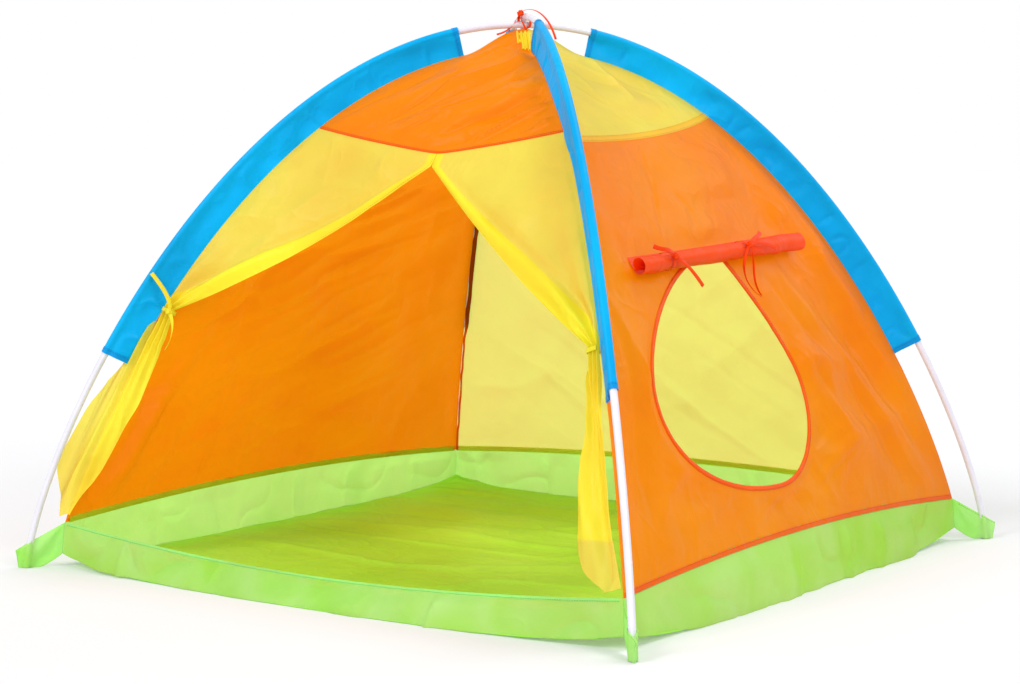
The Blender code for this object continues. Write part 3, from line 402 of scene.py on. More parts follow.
# %% A finish as Python expressions
class Field:
    """A socket that takes part in sums: each operator adds a Math node."""

    def __init__(self, finish, socket):
        self.finish, self.socket = finish, socket

    def maths(self, operation, first, second=None):
        inputs = {0: first} if second is None else {0: first, 1: second}
        made = self.finish.node("ShaderNodeMath", {"operation": operation}, inputs)
        return Field(self.finish, made.outputs[0])

    def __add__(self, other):
        return self.maths("ADD", self, other)

    def __sub__(self, other):
        return self.maths("SUBTRACT", self, other)

    def __rsub__(self, other):
        return self.maths("SUBTRACT", other, self)

    def __mul__(self, other):
        return self.maths("MULTIPLY", self, other)

    def __pow__(self, other):
        return self.maths("POWER", self, other)

    def __abs__(self):
        return self.maths("ABSOLUTE", self)

    __radd__, __rmul__ = __add__, __mul__


class Finish:
    """A material under construction."""

    def __init__(self, name):
        self.material = bpy.data.materials.new(name)
        self.material.use_nodes = True
        self.tree = self.material.node_tree
        self.tree.nodes.clear()

    def node(self, kind, settings=None, inputs=None):
        """A node of this kind: its settings first, then the values or links of its sockets."""
        made = self.tree.nodes.new(kind)
        for key, value in (settings or {}).items():
            setattr(made, key, value)
        for key, value in (inputs or {}).items():
            if isinstance(value, Field):
                value = value.socket
            if isinstance(value, bpy.types.NodeSocket):
                self.tree.links.new(value, made.inputs[key])
            else:
                made.inputs[key].default_value = value
        return made

    def field(self, kind, output=0, settings=None, inputs=None):
        return Field(self, self.node(kind, settings, inputs).outputs[output])

    def tint(self, share, first, second, how="MIX"):
        """Mix of two colours."""
        settings = {"data_type": "RGBA", "blend_type": how}
        made = self.node("ShaderNodeMix", settings, {0: share, 6: first, 7: second})
        return Field(self, made.outputs[2])

    def done(self, surface):
        self.node("ShaderNodeOutputMaterial", None, {"Surface": surface})
        return self.material


def linear(*channels):
    """Linear colour of sRGB channels."""
    return tuple(c / 12.92 if c <= 0.04045 else ((c + 0.055) / 1.055) ** 2.4 for c in channels) + (1.0,)


print("finish maths ready")

# %% [markdown]
# Play-tent nylon is a thin woven taffeta: some light is scattered back, about as much comes
# through, and the face has a faint silky gloss. Principled mixed with Translucent gives both.
# Two layers let less light through and show a deeper colour, so a vertex attribute for two-layer
# cloth steers the colour and the mix; on the corner seams it also carries a painted shadow. A fine
# three-way wave stands for the weave, and noise for crumples too small to model. That noise and
# broad patches also darken and lighten the colour itself, as painted shade and painted highlight.
# Each colour is written once for one layer and once for two. It drifts in wide patches between a
# cooler and a warmer tint of itself: painted light, for the coloured light that thin cloth takes up
# from round it.

# %% Nylon finishes
WEAVE_SCALE, PAINTED_SHADE_SCALE, CRUMPLE_SCALE, BAG_SCALE = 240.0, 5.0, 24.0, 11.0
# Pairs of tints for painted light: each cloth's colour drifts between its pair in wide patches.
WARM = ((1.0, 0.84, 0.80, 1), (1.0, 1.10, 1.0, 1))
FRESH = ((0.88, 0.98, 0.72, 1), (1.24, 1.05, 1.90, 1))
LEAFY = ((0.88, 0.97, 0.80, 1), (1.06, 1.03, 1.20, 1))
CRUMPLE_BUMP, THREAD_BUMP, DOUBLED_SHADE = 0.0034, 0.0002, 0.35


def patchy(f, place, scale, **more):
    """Noise from 0 to 1, with this many cells to the metre."""
    return f.field("ShaderNodeTexNoise", 0, None, {"Vector": place, "Scale": scale, **more})


def nylon(name, colour, deep, through, gloss=0.34, shine=0.14, painted_light_tints=WARM, patches=4.2):
    """Thin woven cloth. colour is one layer, deep is two, through is the share of light let in."""
    f = Finish(name)
    place = f.node("ShaderNodeTexCoord").outputs["Object"]
    # Broad patches of painted shade, darker and lighter over the cloth.
    painted_shade_patches = patchy(f, place, PAINTED_SHADE_SCALE, Detail=4.0, Roughness=0.6)
    small = patchy(f, place, CRUMPLE_SCALE, Detail=5.0, Distortion=0.7)
    doubled = f.field("ShaderNodeAttribute", 2, {"attribute_name": "doubled"})
    weave, woven_at = 0.0, {"Vector": place, "Scale": WEAVE_SCALE}
    for way in "XYZ":
        weave = f.field("ShaderNodeTexWave", 1, {"bands_direction": way}, woven_at) + weave
    lines = patchy(f, place, BAG_SCALE, Detail=2.0, Distortion=0.9)
    ridge = 1.0 - 5.0 * abs(lines - 0.5)
    bag = ridge.maths("MAXIMUM", ridge, 0.0) ** 2.0
    base = f.tint(doubled, linear(*colour), linear(*deep))
    # Painted shade and painted highlight: broad patches, the small crumples and the bag creases darken and
    # lighten the colour; the weave adds a faint real pattern.
    painted_shade = 0.84 + 0.22 * painted_shade_patches + 0.08 * small + 0.02 * bag + 0.010 * weave
    painted_shade_grey = f.node("ShaderNodeCombineColor", None, {0: painted_shade, 1: painted_shade, 2: painted_shade}).outputs[0]
    # Painted light: wide patches tint the colour towards one or the other of its pair.
    painted_light_patches = patchy(f, place, patches, Detail=1.5, Distortion=0.5)
    painted_light_tint = f.tint(2.6 * painted_light_patches - 0.80, *painted_light_tints)
    paint = f.tint(1.0, f.tint(1.0, base, painted_light_tint, "MULTIPLY"), painted_shade_grey, "MULTIPLY")
    relief = f.node("ShaderNodeBump", None, {
        "Strength": 0.8, "Distance": CRUMPLE_BUMP, "Height": 0.7 * small + 0.35 * bag})
    threads = f.node("ShaderNodeBump", None, {
        "Strength": 0.12, "Distance": THREAD_BUMP, "Height": weave, "Normal": relief.outputs[0]})
    face = f.node("ShaderNodeBsdfPrincipled", None, {
        "Base Color": paint, "Roughness": gloss - 0.08 + 0.20 * small, "Normal": threads.outputs[0],
        "Specular IOR Level": shine})
    glow = f.node("ShaderNodeBsdfTranslucent", None, {"Color": linear(*colour)})
    share = through - (through * DOUBLED_SHADE) * doubled
    mixed = f.node("ShaderNodeMixShader", None, {0: share, 1: face.outputs[0], 2: glow.outputs[0]})
    return f.done(mixed.outputs[0])


ORANGE = nylon("orange_nylon", (0.990, 0.560, 0.030), (0.975, 0.420, 0.010), 0.42)
YELLOW = nylon("yellow_nylon", (0.955, 0.890, 0.390), (0.985, 0.930, 0.220), 0.42)
BACK_YELLOW = nylon("back_yellow_nylon", (0.940, 0.920, 0.500), (0.930, 0.900, 0.400), 0.58)
AMBER = nylon("amber_seam", (0.955, 0.810, 0.230), (0.975, 0.780, 0.170), 0.46)
BLUE = nylon("blue_nylon", (0.000, 0.745, 0.990), (0.000, 0.620, 0.920), 0.32)
GREEN = nylon("green_nylon", (0.760, 0.940, 0.490), (0.700, 0.940, 0.460), 0.58, painted_light_tints=FRESH, patches=9.0)
TEAL = nylon("sill_hem_green", (0.700, 0.930, 0.560), (0.640, 0.910, 0.520), 0.40)
FLOOR_GREEN = nylon("floor_nylon", (0.750, 0.995, 0.340), (0.690, 0.990, 0.330), 0.30, painted_light_tints=LEAFY)
RED = nylon("red_tape", (0.990, 0.350, 0.040), (0.970, 0.290, 0.020), 0.32)
BINDING_ORANGE = nylon("binding_orange", (0.990, 0.430, 0.030), (0.985, 0.390, 0.010), 0.32)
# The bound inner seam is one green, painted in two copies: a darker olive one as painted shade on the left
# wall, and a paler one as painted light on the back wall.
SEAM_GREEN_SHADED = nylon("seam_green_painted_shade", (0.820, 0.880, 0.280), (0.760, 0.830, 0.200), 0.40)
SEAM_GREEN_LIT = nylon("seam_green_painted_light", (0.860, 1.000, 0.440), (0.860, 1.000, 0.400), 0.66)
# Its deep colour is no second layer. It is a painted shadow, dark brown, where the sleeve behind the seam
# keeps out the light.
CORNER_SEAM_AND_SHADOW = nylon("corner_seam_painted_shadow", (0.930, 0.470, 0.050), (0.440, 0.170, 0.040), 0.20)
print("nylon:", len(bpy.data.materials), "finishes")

# %% [markdown]
# The poles are white glass-fibre tube with a thin gel coat: smooth and fairly glossy, with faint
# long streaks. The thread is spun polyester, matt and a shade darker than its cloth.

# %% Pole and thread finishes
STREAK_SCALE, PLY_SCALE, THREAD_SHADE = 22.0, 500.0, 0.72


def gel_coat():
    """White glass fibre under a thin clear coat."""
    f = Finish("pole_white")
    place = f.node("ShaderNodeTexCoord").outputs["Object"]
    streaks = patchy(f, place, STREAK_SCALE, Detail=5.0)
    paint = f.tint(streaks, linear(0.84, 0.83, 0.88), linear(0.91, 0.90, 0.94))
    relief = f.node("ShaderNodeBump", None, {"Strength": 0.1, "Distance": 0.0003, "Height": streaks})
    shell = f.node("ShaderNodeBsdfPrincipled", None, {
        "Base Color": paint, "Roughness": 0.18 + 0.18 * streaks, "Normal": relief.outputs[0],
        "Coat Weight": 0.25})
    return f.done(shell.outputs[0])


def thread(name, colour):
    """Twisted yarn, with painted shade between its plies."""
    f = Finish(name)
    place = f.node("ShaderNodeTexCoord").outputs["Object"]
    plies = f.field("ShaderNodeTexWave", 1, {"bands_direction": "DIAGONAL"},
                    {"Vector": place, "Scale": PLY_SCALE})
    # Painted shade: the yarn's own colour, darkened between its plies.
    dark = tuple(THREAD_SHADE * c for c in colour)
    yarn = f.node("ShaderNodeBsdfPrincipled", None, {
        "Base Color": f.tint(plies, linear(*dark), linear(*colour)), "Roughness": 0.62 + 0.15 * plies})
    return f.done(yarn.outputs[0])


POLE_WHITE = gel_coat()
RED_THREAD = thread("red_thread", (0.80, 0.25, 0.05))
YELLOW_THREAD = thread("yellow_thread", (0.90, 0.78, 0.18))
BLUE_THREAD = thread("blue_thread", (0.02, 0.36, 0.66))
GREEN_THREAD = thread("green_thread", (0.36, 0.70, 0.30))
DARK_THREAD = thread("dark_thread", (0.42, 0.34, 0.08))
print("finishes in all:", len(bpy.data.materials))

# %% [markdown]
# Each pole is five tubes end to end. The frame's tubes are right but coarse, so finer ones stand
# for them, with the same bore and ends. The spigots inside the joints stay as they are and only
# get the same finish.

# %% Poles
POLE_SIDES, POLE_RINGS = 20, 49


def arch_place(arch, place):
    """(reach, height), and outward way, at a place from 0 at one foot to 40 at the other."""
    place = np.asarray(place, float)
    far = place > CROWN
    near = np.where(far, 2 * CROWN - place, place)
    spot, climb = at(arch, near), at(climb_of(arch), near)
    normal = np.stack([climb[..., 1], -climb[..., 0]], -1)
    flip = np.where(far, -1.0, 1.0)[..., None] * np.array((1.0, 0.0)) + np.array((0.0, 1.0))
    return spot * flip, normal * flip


def ring_points(centre, normal, radius, sides):
    """Rings across the XZ plane round centres in it."""
    angle = 2 * np.pi * np.arange(sides) / sides
    x = centre[:, None, 0] + normal[:, None, 0] * radius * np.cos(angle)
    z = centre[:, None, 1] + normal[:, None, 1] * radius * np.cos(angle)
    return np.stack([x, np.broadcast_to(radius * np.sin(angle), x.shape), z], -1)


def make_pole(label, arch, corner):
    """Five tubes along a whole pole, each open at both ends."""
    steps = 2 * CROWN / SECTIONS
    gap = FIT_GAP / 2 / STEP_LENGTH
    for section in range(SECTIONS):
        low = section * steps + (gap if section else 0)
        high = (section + 1) * steps - (gap if section < SECTIONS - 1 else 0)
        centre, normal = arch_place(arch, np.linspace(low, high, POLE_RINGS))
        outer = ring_points(centre, normal, POLE_OUTER / 2, POLE_SIDES)
        inner = ring_points(centre, normal, POLE_OUTER / 2 - POLE_WALL, POLE_SIDES)
        rows = np.concatenate([outer, inner[::-1], outer[:1]])
        faces = grid_faces(len(rows), POLE_SIDES, wrap=True) % (2 * POLE_RINGS * POLE_SIDES)
        make_piece(f"{label}_tube_{section + 1}", turned(rows[:-1], CORNERS[corner]), faces, POLE_WHITE,
                   replaces=[f"{label}_section_{section + 1}"], slot="white_plastic")


make_pole("lower_pole", LOWER_ARCH, "back_right")
make_pole("upper_pole", UPPER_ARCH, "front_right")
for name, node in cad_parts.items():
    if "spigot" in name:
        for index in range(len(node.data.materials)):
            node.data.materials[index] = POLE_WHITE
print("pole tubes:", 2 * SECTIONS)

# %% [markdown]
# A closed wall or top panel is one sheet between two seams. Its relief is calm at the seams and
# full in the middle, with small puckers beside the stitching. Long folds, each given by its
# two ends, run where the real cloth is pulled between a pole and a corner.

# %% Sheets between two seams
PUCKER_HEIGHT, PUCKER_CELL, PUCKER_REACH = 0.0018, 0.014, 0.018
# How far from a seam the crumples and the long folds begin, and the width that they fade over.
CRUMPLE_FROM, CRUMPLE_FADE, FOLD_FROM, FOLD_FADE = 0.008, 0.05, 0.006, 0.03


def wall_relief(across, place, low, high, degrees, seed, folds, amount, pulls=()):
    """Relief of a wall at its points, from its distance to its seams."""
    point, half = wall_point(across, place), half_width(place)
    side = (1 - np.abs(across)) * half
    edge = np.minimum(side, np.minimum(place - low, high - place) * STEP_LENGTH)
    world = turned(point, degrees)
    pucker = PUCKER_HEIGHT * noise(world / PUCKER_CELL, seed + 7) * np.exp(-edge / PUCKER_REACH)
    pucker = pucker * ease(edge / 0.004)
    lift = crumple(world, seed, amount) * ease((edge - CRUMPLE_FROM) / CRUMPLE_FADE) + pucker
    faded = ease((edge - FOLD_FROM) / FOLD_FADE)
    for line in folds:
        lift = lift + fold_line(across * half, point[..., 2], *line) * faded
    for number, pull in enumerate(pulls):
        lift = lift + drawn_folds(across * half, point[..., 2], seed + 40 + number, *pull) * faded
    return world + turned(wall_normal(place), degrees) * lift[..., None]


def wall_grid(low, high, rows, columns):
    """Across and place of a grid between two seams."""
    across = np.linspace(-1, 1, columns)[None]
    share = np.linspace(0, 1, rows)[:, None]
    return np.broadcast_to(across, (rows, columns)), low(across) + share * (high(across) - low(across))


def flat_size(low, high):
    """Width, length and area that a wall is cut to."""
    across, place = wall_grid(low, high, 60, 60)
    smooth = wall_point(across, place)
    width = 2 * half_width(place).max()
    length = np.linalg.norm(np.diff(smooth[:, 30], axis=0), axis=1).sum()
    return (round(float(width), 3), round(float(length), 3)), round(cloth_area(smooth), 4)


def make_wall(name, node, side, low, high, finish, slot, folds, pulls, seed, amount=1.0,
              rows=150, columns=150):
    """A whole wall or top panel as one sheet, with its relief."""
    across, place = wall_grid(low, high, rows, columns)
    points = wall_relief(across, place, low(across), high(across), SIDES[side], seed, folds, amount, pulls)
    return make_sheet(name, points, finish, replaces=[node], slot=slot)


def declare_wall(thing, low, high, extras=()):
    """Prints the size and area that a wall is cut to. Which pieces go with it, extras, is not used."""
    size, area = flat_size(low, high)
    print(thing.name, "cut to", size, "m,", area, "m2")


print("wall builders ready")

# %% [markdown]
# Each line that walls and top panels meet on is a function of how far across it is. A doubled
# strip, a little proud of the cloth and sewn down in rows, covers such a seam.

# %% Seam lines and the strips over them
BAND_ROWS, BAND_COLUMNS, BAND_PROUD, BAND_WOBBLE = 7, 160, 0.0009, 0.0005


def wall_band(across):
    """Upper seam of the back and left walls."""
    return place_at_height(BAND_HEIGHT - WALL_BAND_DIP * (1 - across ** 2))


def door_band(across):
    """Lower seam of the front top panel."""
    return place_at_height(door_band_height(across))


def right_band(across):
    """Upper seam of the right wall, which climbs towards the back."""
    dip = RIGHT_BAND_DIP * (1 - across ** 2)
    return place_at_height(RIGHT_BAND_HEIGHT + RIGHT_BAND_CLIMB * across - dip)


def peak_line(across):
    """The crown, where all top panels end."""
    return np.full_like(np.asarray(across, float), PEAK)


TOP_LINES = {"front": door_band, "right": right_band, "back": wall_band, "left": wall_band}


def band(side, low, width, below=0.001, across_reach=0.995, inside=False):
    """A strip of two layers over a seam of a wall, from below it: points a little proud of its face."""
    across = np.linspace(-across_reach, across_reach, BAND_COLUMNS)[None]
    share = np.linspace(0, 1, BAND_ROWS)[:, None]
    place = low(across) - below / STEP_LENGTH + share * width / STEP_LENGTH
    point = turned(wall_point(across, place), SIDES[side])
    wobble = BAND_WOBBLE * noise(point / 0.02, 71) * np.sin(np.pi * share)
    bulge = np.sin(np.pi * share) ** 0.5 * BAND_PROUD + wobble
    way = -1 if inside else 1
    return point + way * turned(wall_normal(place), SIDES[side]) * (bulge + SEAM_GAP)[..., None]


def band_piece(name, grid, finish, threads, thread_finish):
    """The strip as a piece, with rows of stitches along it."""
    made = [make_sheet(name, grid, finish, doubled=1.0)]
    up = np.cross(np.gradient(grid, axis=1), np.gradient(grid, axis=0))
    for share in threads:
        row = int(round(share * (grid.shape[0] - 1)))
        face = unit(up[row])
        outward = unit(grid[row] * (1, 1, 0))
        face = face * np.sign((face * outward).sum(-1).mean() or 1)
        made.append(stitches(f"{name}_stitches_{row}", grid[row], face, thread_finish))
    return made


print("seam lines:", sorted(TOP_LINES))

# %% [markdown]
# The four top panels close the dome above the walls: orange in front and behind, yellow at the
# sides. The pull of the front panel goes from the lower left to the right pole, so its folds do.

# %% Top panels
# Each fold: its start and end across and up, its width and how far it stands out, in metres.
TOP_FOLDS = {
    "front": [((-0.19, 0.735), (0.06, 0.865), 0.014, 0.0075), ((-0.10, 0.715), (0.15, 0.81), 0.012, 0.0065),
              ((-0.02, 0.700), (0.20, 0.765), 0.010, 0.0050)],
    "right": [((-0.20, 0.76), (0.12, 0.73), 0.020, -0.0040), ((-0.10, 0.80), (0.20, 0.75), 0.016, 0.0040)],
    "back": [((-0.18, 0.74), (0.05, 0.86), 0.014, 0.0045), ((0.15, 0.73), (-0.02, 0.85), 0.012, 0.0040)],
    "left": [((-0.15, 0.75), (0.10, 0.80), 0.014, 0.0045), ((0.18, 0.74), (0.02, 0.87), 0.012, -0.0040)]}
# Each pull: its angle in degrees, length, width, height, the spot it centres on and its reach.
TOP_PULLS = {
    "front": [(30, 0.24, 0.026, 0.0150, (0.03, 0.78), 0.26)],
    "right": [(-12, 0.18, 0.030, 0.0045, (0.02, 0.77), 0.24)],
    "back": [(32, 0.20, 0.026, 0.0060, (0.0, 0.78), 0.24)],
    "left": [(-20, 0.20, 0.026, 0.0060, (0.0, 0.78), 0.24)]}
SIDE_BAND, END_BAND = 0.016, 0.006
tops = {}
for number, side in enumerate(SIDES):
    low = TOP_LINES[side]
    finish, slot = (ORANGE, "orange_cloth") if side in ("front", "back") else (YELLOW, "yellow_cloth")
    top = make_wall(f"{side}_top_cloth", f"{side}_top_panel", side, low, peak_line, finish, slot,
                    TOP_FOLDS[side], TOP_PULLS[side], 20 + 10 * number, amount=0.9, rows=110, columns=140)
    strip = band(side, low, SIDE_BAND if side in ("right", "left") else END_BAND)
    seam_finish, thread_finish = (ORANGE, RED_THREAD) if side in ("front", "back") else (AMBER, YELLOW_THREAD)
    tops[side] = [top, *band_piece(f"{side}_band_seam", strip, seam_finish, (0.2, 0.8), thread_finish)]
print("top panels:", len(tops))

# %% [markdown]
# Inside the two back corners the edges of two walls are sewn together. The narrow strip leans on
# the back wall. Through the door it is the line that runs up each corner. Where the sleeve behind
# it keeps out the light, a painted shadow turns it dark brown. At the front corners the door flaps
# hide the same seam.

# %% Corner seams
SEAM_INSIDE, SEAM_START, SEAM_LEAN, SEAM_RUFFLE = 0.012, 0.0005, math.radians(31), 0.0012
corner_seams = []
for corner, hand in (("back_left", -1), ("back_right", 1)):
    places = np.linspace(HEM, PEAK, 220)
    seam, climb = at(SEAM, places), at(SEAM_CLIMB, places)
    normal = np.stack([climb[:, 1], -climb[:, 0]], 1)
    sleeved = ease((places - SLEEVE_LOW + 0.3) / 0.6)
    width = SEAM_INSIDE * (0.55 + 0.45 * sleeved) * ease((CROWN - places) / 1.2 + 0.25)
    reach = np.linspace(-SEAM_START / SEAM_INSIDE, -1, 7)[None] * width[:, None]
    spot = seam[:, None] + normal[:, None] * (reach * math.cos(SEAM_LEAN))[..., None]
    ruffle = noise(np.stack([places[:, None] * 3 + 0 * reach, reach * 60, 0 * reach], -1), 300 + hand)
    sway = hand * -reach * math.sin(SEAM_LEAN) + SEAM_RUFFLE * ruffle
    line = turned(np.stack([spot[..., 0], sway, spot[..., 1]], -1), CORNERS[corner])
    # A quarter of the deep colour everywhere for the two-layer seam, and a painted shadow that turns it dark
    # brown where the sleeve is behind it.
    painted_shade = np.broadcast_to(0.25 + 0.75 * sleeved[:, None], reach.shape)
    corner_seams.append(make_sheet(f"{corner}_corner_seam", line, CORNER_SEAM_AND_SHADOW, doubled=painted_shade))
print("corner seams:", len(corner_seams))

# %% [markdown]
# The back and left walls are plain sheets from the tub to the top panels. Through the door their
# inner faces show a bound seam in the green of the tub, with dark stitches along both edges,
# and outside an orange-red doubled hem covers the same seam.

# %% Back and left walls
WALL_FOLDS = {
    "left": [((-0.45, 0.13), (-0.10, 0.60), 0.030, 0.0060), ((0.40, 0.12), (0.05, 0.50), 0.025, -0.0055),
             ((-0.30, 0.30), (0.25, 0.55), 0.020, 0.0045), ((-0.35, 0.15), (0.30, 0.25), 0.025, -0.0045),
             ((0.47, 0.10), (0.30, 0.40), 0.022, -0.0090)],
    "back": [((-0.42, 0.12), (-0.05, 0.55), 0.028, 0.0060), ((0.42, 0.12), (0.08, 0.50), 0.024, 0.0050),
             ((-0.20, 0.60), (0.25, 0.35), 0.022, -0.0045)],
    "right": [((-0.46, 0.12), (-0.33, 0.60), 0.028, -0.0090), ((0.46, 0.11), (0.16, 0.50), 0.032, 0.0130),
              ((0.50, 0.12), (0.28, 0.47), 0.026, -0.0105), ((0.36, 0.10), (0.14, 0.30), 0.030, 0.0090),
              ((-0.40, 0.13), (-0.20, 0.17), 0.026, 0.0075), ((0.30, 0.66), (-0.25, 0.62), 0.030, 0.0060)]}
WALL_PULLS = {
    "left": [(-16, 0.20, 0.036, 0.0110, (0.05, 0.42), 0.36), (-62, 0.26, 0.050, 0.0120, (0.38, 0.24), 0.20)],
    "back": [(34, 0.34, 0.060, 0.0075, (0.05, 0.35), 0.40), (-30, 0.25, 0.070, 0.0060, (-0.2, 0.4), 0.25)],
    "right": [(-58, 0.34, 0.055, 0.0130, (0.31, 0.34), 0.22), (78, 0.26, 0.036, 0.0060, (-0.41, 0.34), 0.16),
              (56, 0.24, 0.045, 0.0060, (-0.10, 0.66), 0.18), (24, 0.22, 0.036, 0.0060, (0.10, 0.13), 0.26)]}

HEM_WIDTH, BOUND_WIDTH = 0.009, 0.012


def wall_trim(side):
    """Outer hem and inner bound seam along a wall's foot."""
    outer = band(side, hem_place, HEM_WIDTH)
    inner = band(side, hem_place, BOUND_WIDTH, below=0.003, across_reach=0.985, inside=True)
    # Painted shade and painted light: the same green seam is darker on the left wall and paler on the back
    # wall.
    inner_finish, inner_thread = (SEAM_GREEN_LIT, GREEN_THREAD) if side == "back" else (SEAM_GREEN_SHADED, DARK_THREAD)
    return (band_piece(f"{side}_wall_hem", outer, ORANGE, (0.85,), RED_THREAD)
            + band_piece(f"{side}_inner_seam", inner, inner_finish, (0.15, 0.85), inner_thread))


PLAIN_WALLS = (("back", BACK_YELLOW, "yellow_cloth", 60), ("left", ORANGE, "orange_cloth", 70))
for side, finish, slot, seed in PLAIN_WALLS:
    sheet = make_wall(f"{side}_wall_cloth", f"{side}_wall", side, hem_place, wall_band, finish, slot,
                      WALL_FOLDS[side], WALL_PULLS[side], seed)
    trim = wall_trim(side) + (corner_seams if side == "back" else [])
    declare_wall(sheet, hem_place, wall_band, trim)

# %% [markdown]
# The right wall has a pear-shaped window. A plain grid with faces deleted would leave a ragged
# edge, so this sheet is woven round the hole: each column of points starts on the window's
# outline and ends on the wall's own border. The edge is then exact and follows the binding.

# %% Right wall with its window
WINDOW_SILL, WINDOW_HEAD, WINDOW_BELLY, WINDOW_LEFT, WINDOW_RIGHT = 0.168, 0.535, 0.316, 0.340, 0.115
FOOT_SHIFT = 0.044
LEFT_SHARES, RIGHT_SHARES = (0.46, 0.45, 0.61, 0.54), (0.08, 0.31, 0.54, 0.58)
SPOKES, RINGS = 380, 70
BINDING_WIDTH, BINDING_OVER, BINDING_THICK = 0.0055, 0.0022, 0.0026
ROLL_REST_HEIGHT, ROLL_REST_HALF, ROLL_REST_REACH, ROLL_REST_SHIFT = 0.530, 0.030, 0.29, 0.015


def window_half(belly_along, shares, steps):
    """(along, height) from the window's head over its widest place to its foot."""
    head_share, above, below, foot_share = shares
    head, belly = np.array((0.0, WINDOW_HEAD)), np.array((belly_along, WINDOW_BELLY))
    foot = np.array((-FOOT_SHIFT, WINDOW_SILL))
    walk = np.linspace(0, 1, steps)
    upper = bezier(head, head + (head_share * (belly - head)[0], 0),
                   belly + (0, above * (head - belly)[1]), belly, walk)
    lower = bezier(belly, belly - (0, below * (belly - foot)[1]),
                   foot + (foot_share * (belly - foot)[0], 0), foot, walk)
    return np.concatenate([upper[:-1], lower])


def window_outline(steps=60):
    """Points round the window at equal steps."""
    left = window_half(-WINDOW_LEFT, LEFT_SHARES, steps)
    right = window_half(WINDOW_RIGHT, RIGHT_SHARES, steps)
    return evenly(np.concatenate([left, right[-2:0:-1], left[:1]]), 4 * steps + 1)[:-1]


def across_and_share(spot):
    """Where a point along and up the wall is, between its seams and its lower and upper border."""
    place = place_at_height(spot[..., 1])
    across = spot[..., 0] / half_width(place)
    return across, (place - hem_place(across)) / (right_band(across) - hem_place(across))


outline = window_outline()
window_across, window_share = across_and_share(outline)
middle = (window_across.mean(), window_share.mean())
angles = np.arctan2(window_share - middle[1], window_across - middle[0])
reach = np.hypot(window_across - middle[0], window_share - middle[1])
order = np.argsort(angles)
corner_angles = [math.atan2(v - middle[1], u - middle[0]) for u in (-1, 1) for v in (0, 1)]
even_angles = np.linspace(-np.pi, np.pi, SPOKES, endpoint=False) + 0.001
spokes = np.sort(np.r_[even_angles, corner_angles])
inner = np.interp(spokes, angles[order], reach[order], period=2 * np.pi)
ways = np.stack([np.cos(spokes), np.sin(spokes)], -1)
to_side = (np.sign(ways[:, 0]) - middle[0]) / ways[:, 0]
to_end = ((ways[:, 1] > 0) - middle[1]) / ways[:, 1]
outer = np.minimum(to_side, to_end)
rings = np.linspace(0, 1, RINGS)[:, None]
distance = inner + rings * (outer - inner)
across = np.clip(middle[0] + distance * ways[:, 0], -1, 1)
share = np.clip(middle[1] + distance * ways[:, 1], 0, 1)
place = hem_place(across) + share * (right_band(across) - hem_place(across))
plain = wall_relief(across, place, hem_place(across), right_band(across), SIDES["right"], 80,
                    WALL_FOLDS["right"], 1.0, WALL_PULLS["right"])
smooth = turned(wall_point(across, place), SIDES["right"])
from_edge = np.linalg.norm(smooth - smooth[:1], axis=-1)
beside_roll = ease((ROLL_REST_REACH - np.abs(smooth[..., 1] + ROLL_REST_SHIFT)) / 0.03)
under_roll = np.exp(-((smooth[..., 2] - ROLL_REST_HEIGHT) / ROLL_REST_HALF) ** 4) * beside_roll
points = smooth + (plain - smooth) * (ease(from_edge / 0.03) * (1 - 0.9 * under_roll))[..., None]
right_wall = make_piece("right_wall_cloth", points, grid_faces(*across.shape, wrap=True), ORANGE,
                        replaces=["right_wall"], slot="orange_cloth")
print("right wall:", across.size, "points")

# %% [markdown]
# The binding is a strip of red tape folded over the cut edge and sewn down. A rounded section is
# swept round the outline, reaching over the cloth on both faces, with stitches near its rim.

# %% Window binding
BINDING_SIDES, BINDING_INSET, BINDING_LUMPS = 12, 0.0012, 0.0004


def on_right_wall(spot, depth=0.0):
    """A point along and up the right wall."""
    place = place_at_height(spot[..., 1])
    return turned(wall_point(spot[..., 0] / half_width(place), place, depth), SIDES["right"])


inward = unit(np.roll(outline, -1, axis=0) - np.roll(outline, 1, axis=0))
inward = np.stack([-inward[:, 1], inward[:, 0]], -1)
if ((outline.mean(0) - outline) * inward).sum() < 0:
    inward = -inward
centre = on_right_wall(outline + inward * (BINDING_WIDTH / 2 - BINDING_INSET))
over = unit(on_right_wall(outline + inward * 0.004) - on_right_wall(outline))
face = turned(wall_normal(place_at_height(outline[:, 1])), SIDES["right"])
rings = rim_strip(centre, over, face, BINDING_WIDTH + BINDING_OVER, BINDING_THICK, BINDING_SIDES)
rings = rings + face[:, None] * (BINDING_LUMPS * noise(centre / 0.015, 5))[:, None, None]
faces = grid_faces(len(rings) + 1, BINDING_SIDES, wrap=True) % (len(rings) * BINDING_SIDES)
binding = make_piece("window_edge_binding", rings, faces, BINDING_ORANGE, doubled=1.0,
                     replaces=["window_binding"], slot="red_tape")
loop = np.concatenate([centre, centre[:1]]) - np.concatenate([over, over[:1]]) * BINDING_OVER
face_loop = np.concatenate([face, face[:1]])
binding_rows = stitches("window_binding_stitches", loop, face_loop, RED_THREAD, lift=0.0014)
declare_wall(right_wall, hem_place, right_band,
             [binding, binding_rows, *wall_trim("right")])
print("binding:", len(outline), "rings")

# %% [markdown]
# The tub keeps crawling children off the ground: a floor sheet with low strips up to the walls'
# hems, and a lower sill at the door. The strips carry vertical puckers where they are gathered
# and a folded hem along the sill.

# %% Strips of the tub
TUB_TO_FOOT, TURN_UNDER, STRIP_BELLY = 0.0587, 0.014, 0.004
DOOR_BULGE, WALL_BULGE, CORNER_LIFT, LIFT_POWER = 0.035, 0.010, 0.022, 6
FLOOR_HALF = (POLE_REACH - TUB_TO_FOOT) / ROOT2
OUTWARD = np.array((0.0, -1.0, 0.0))
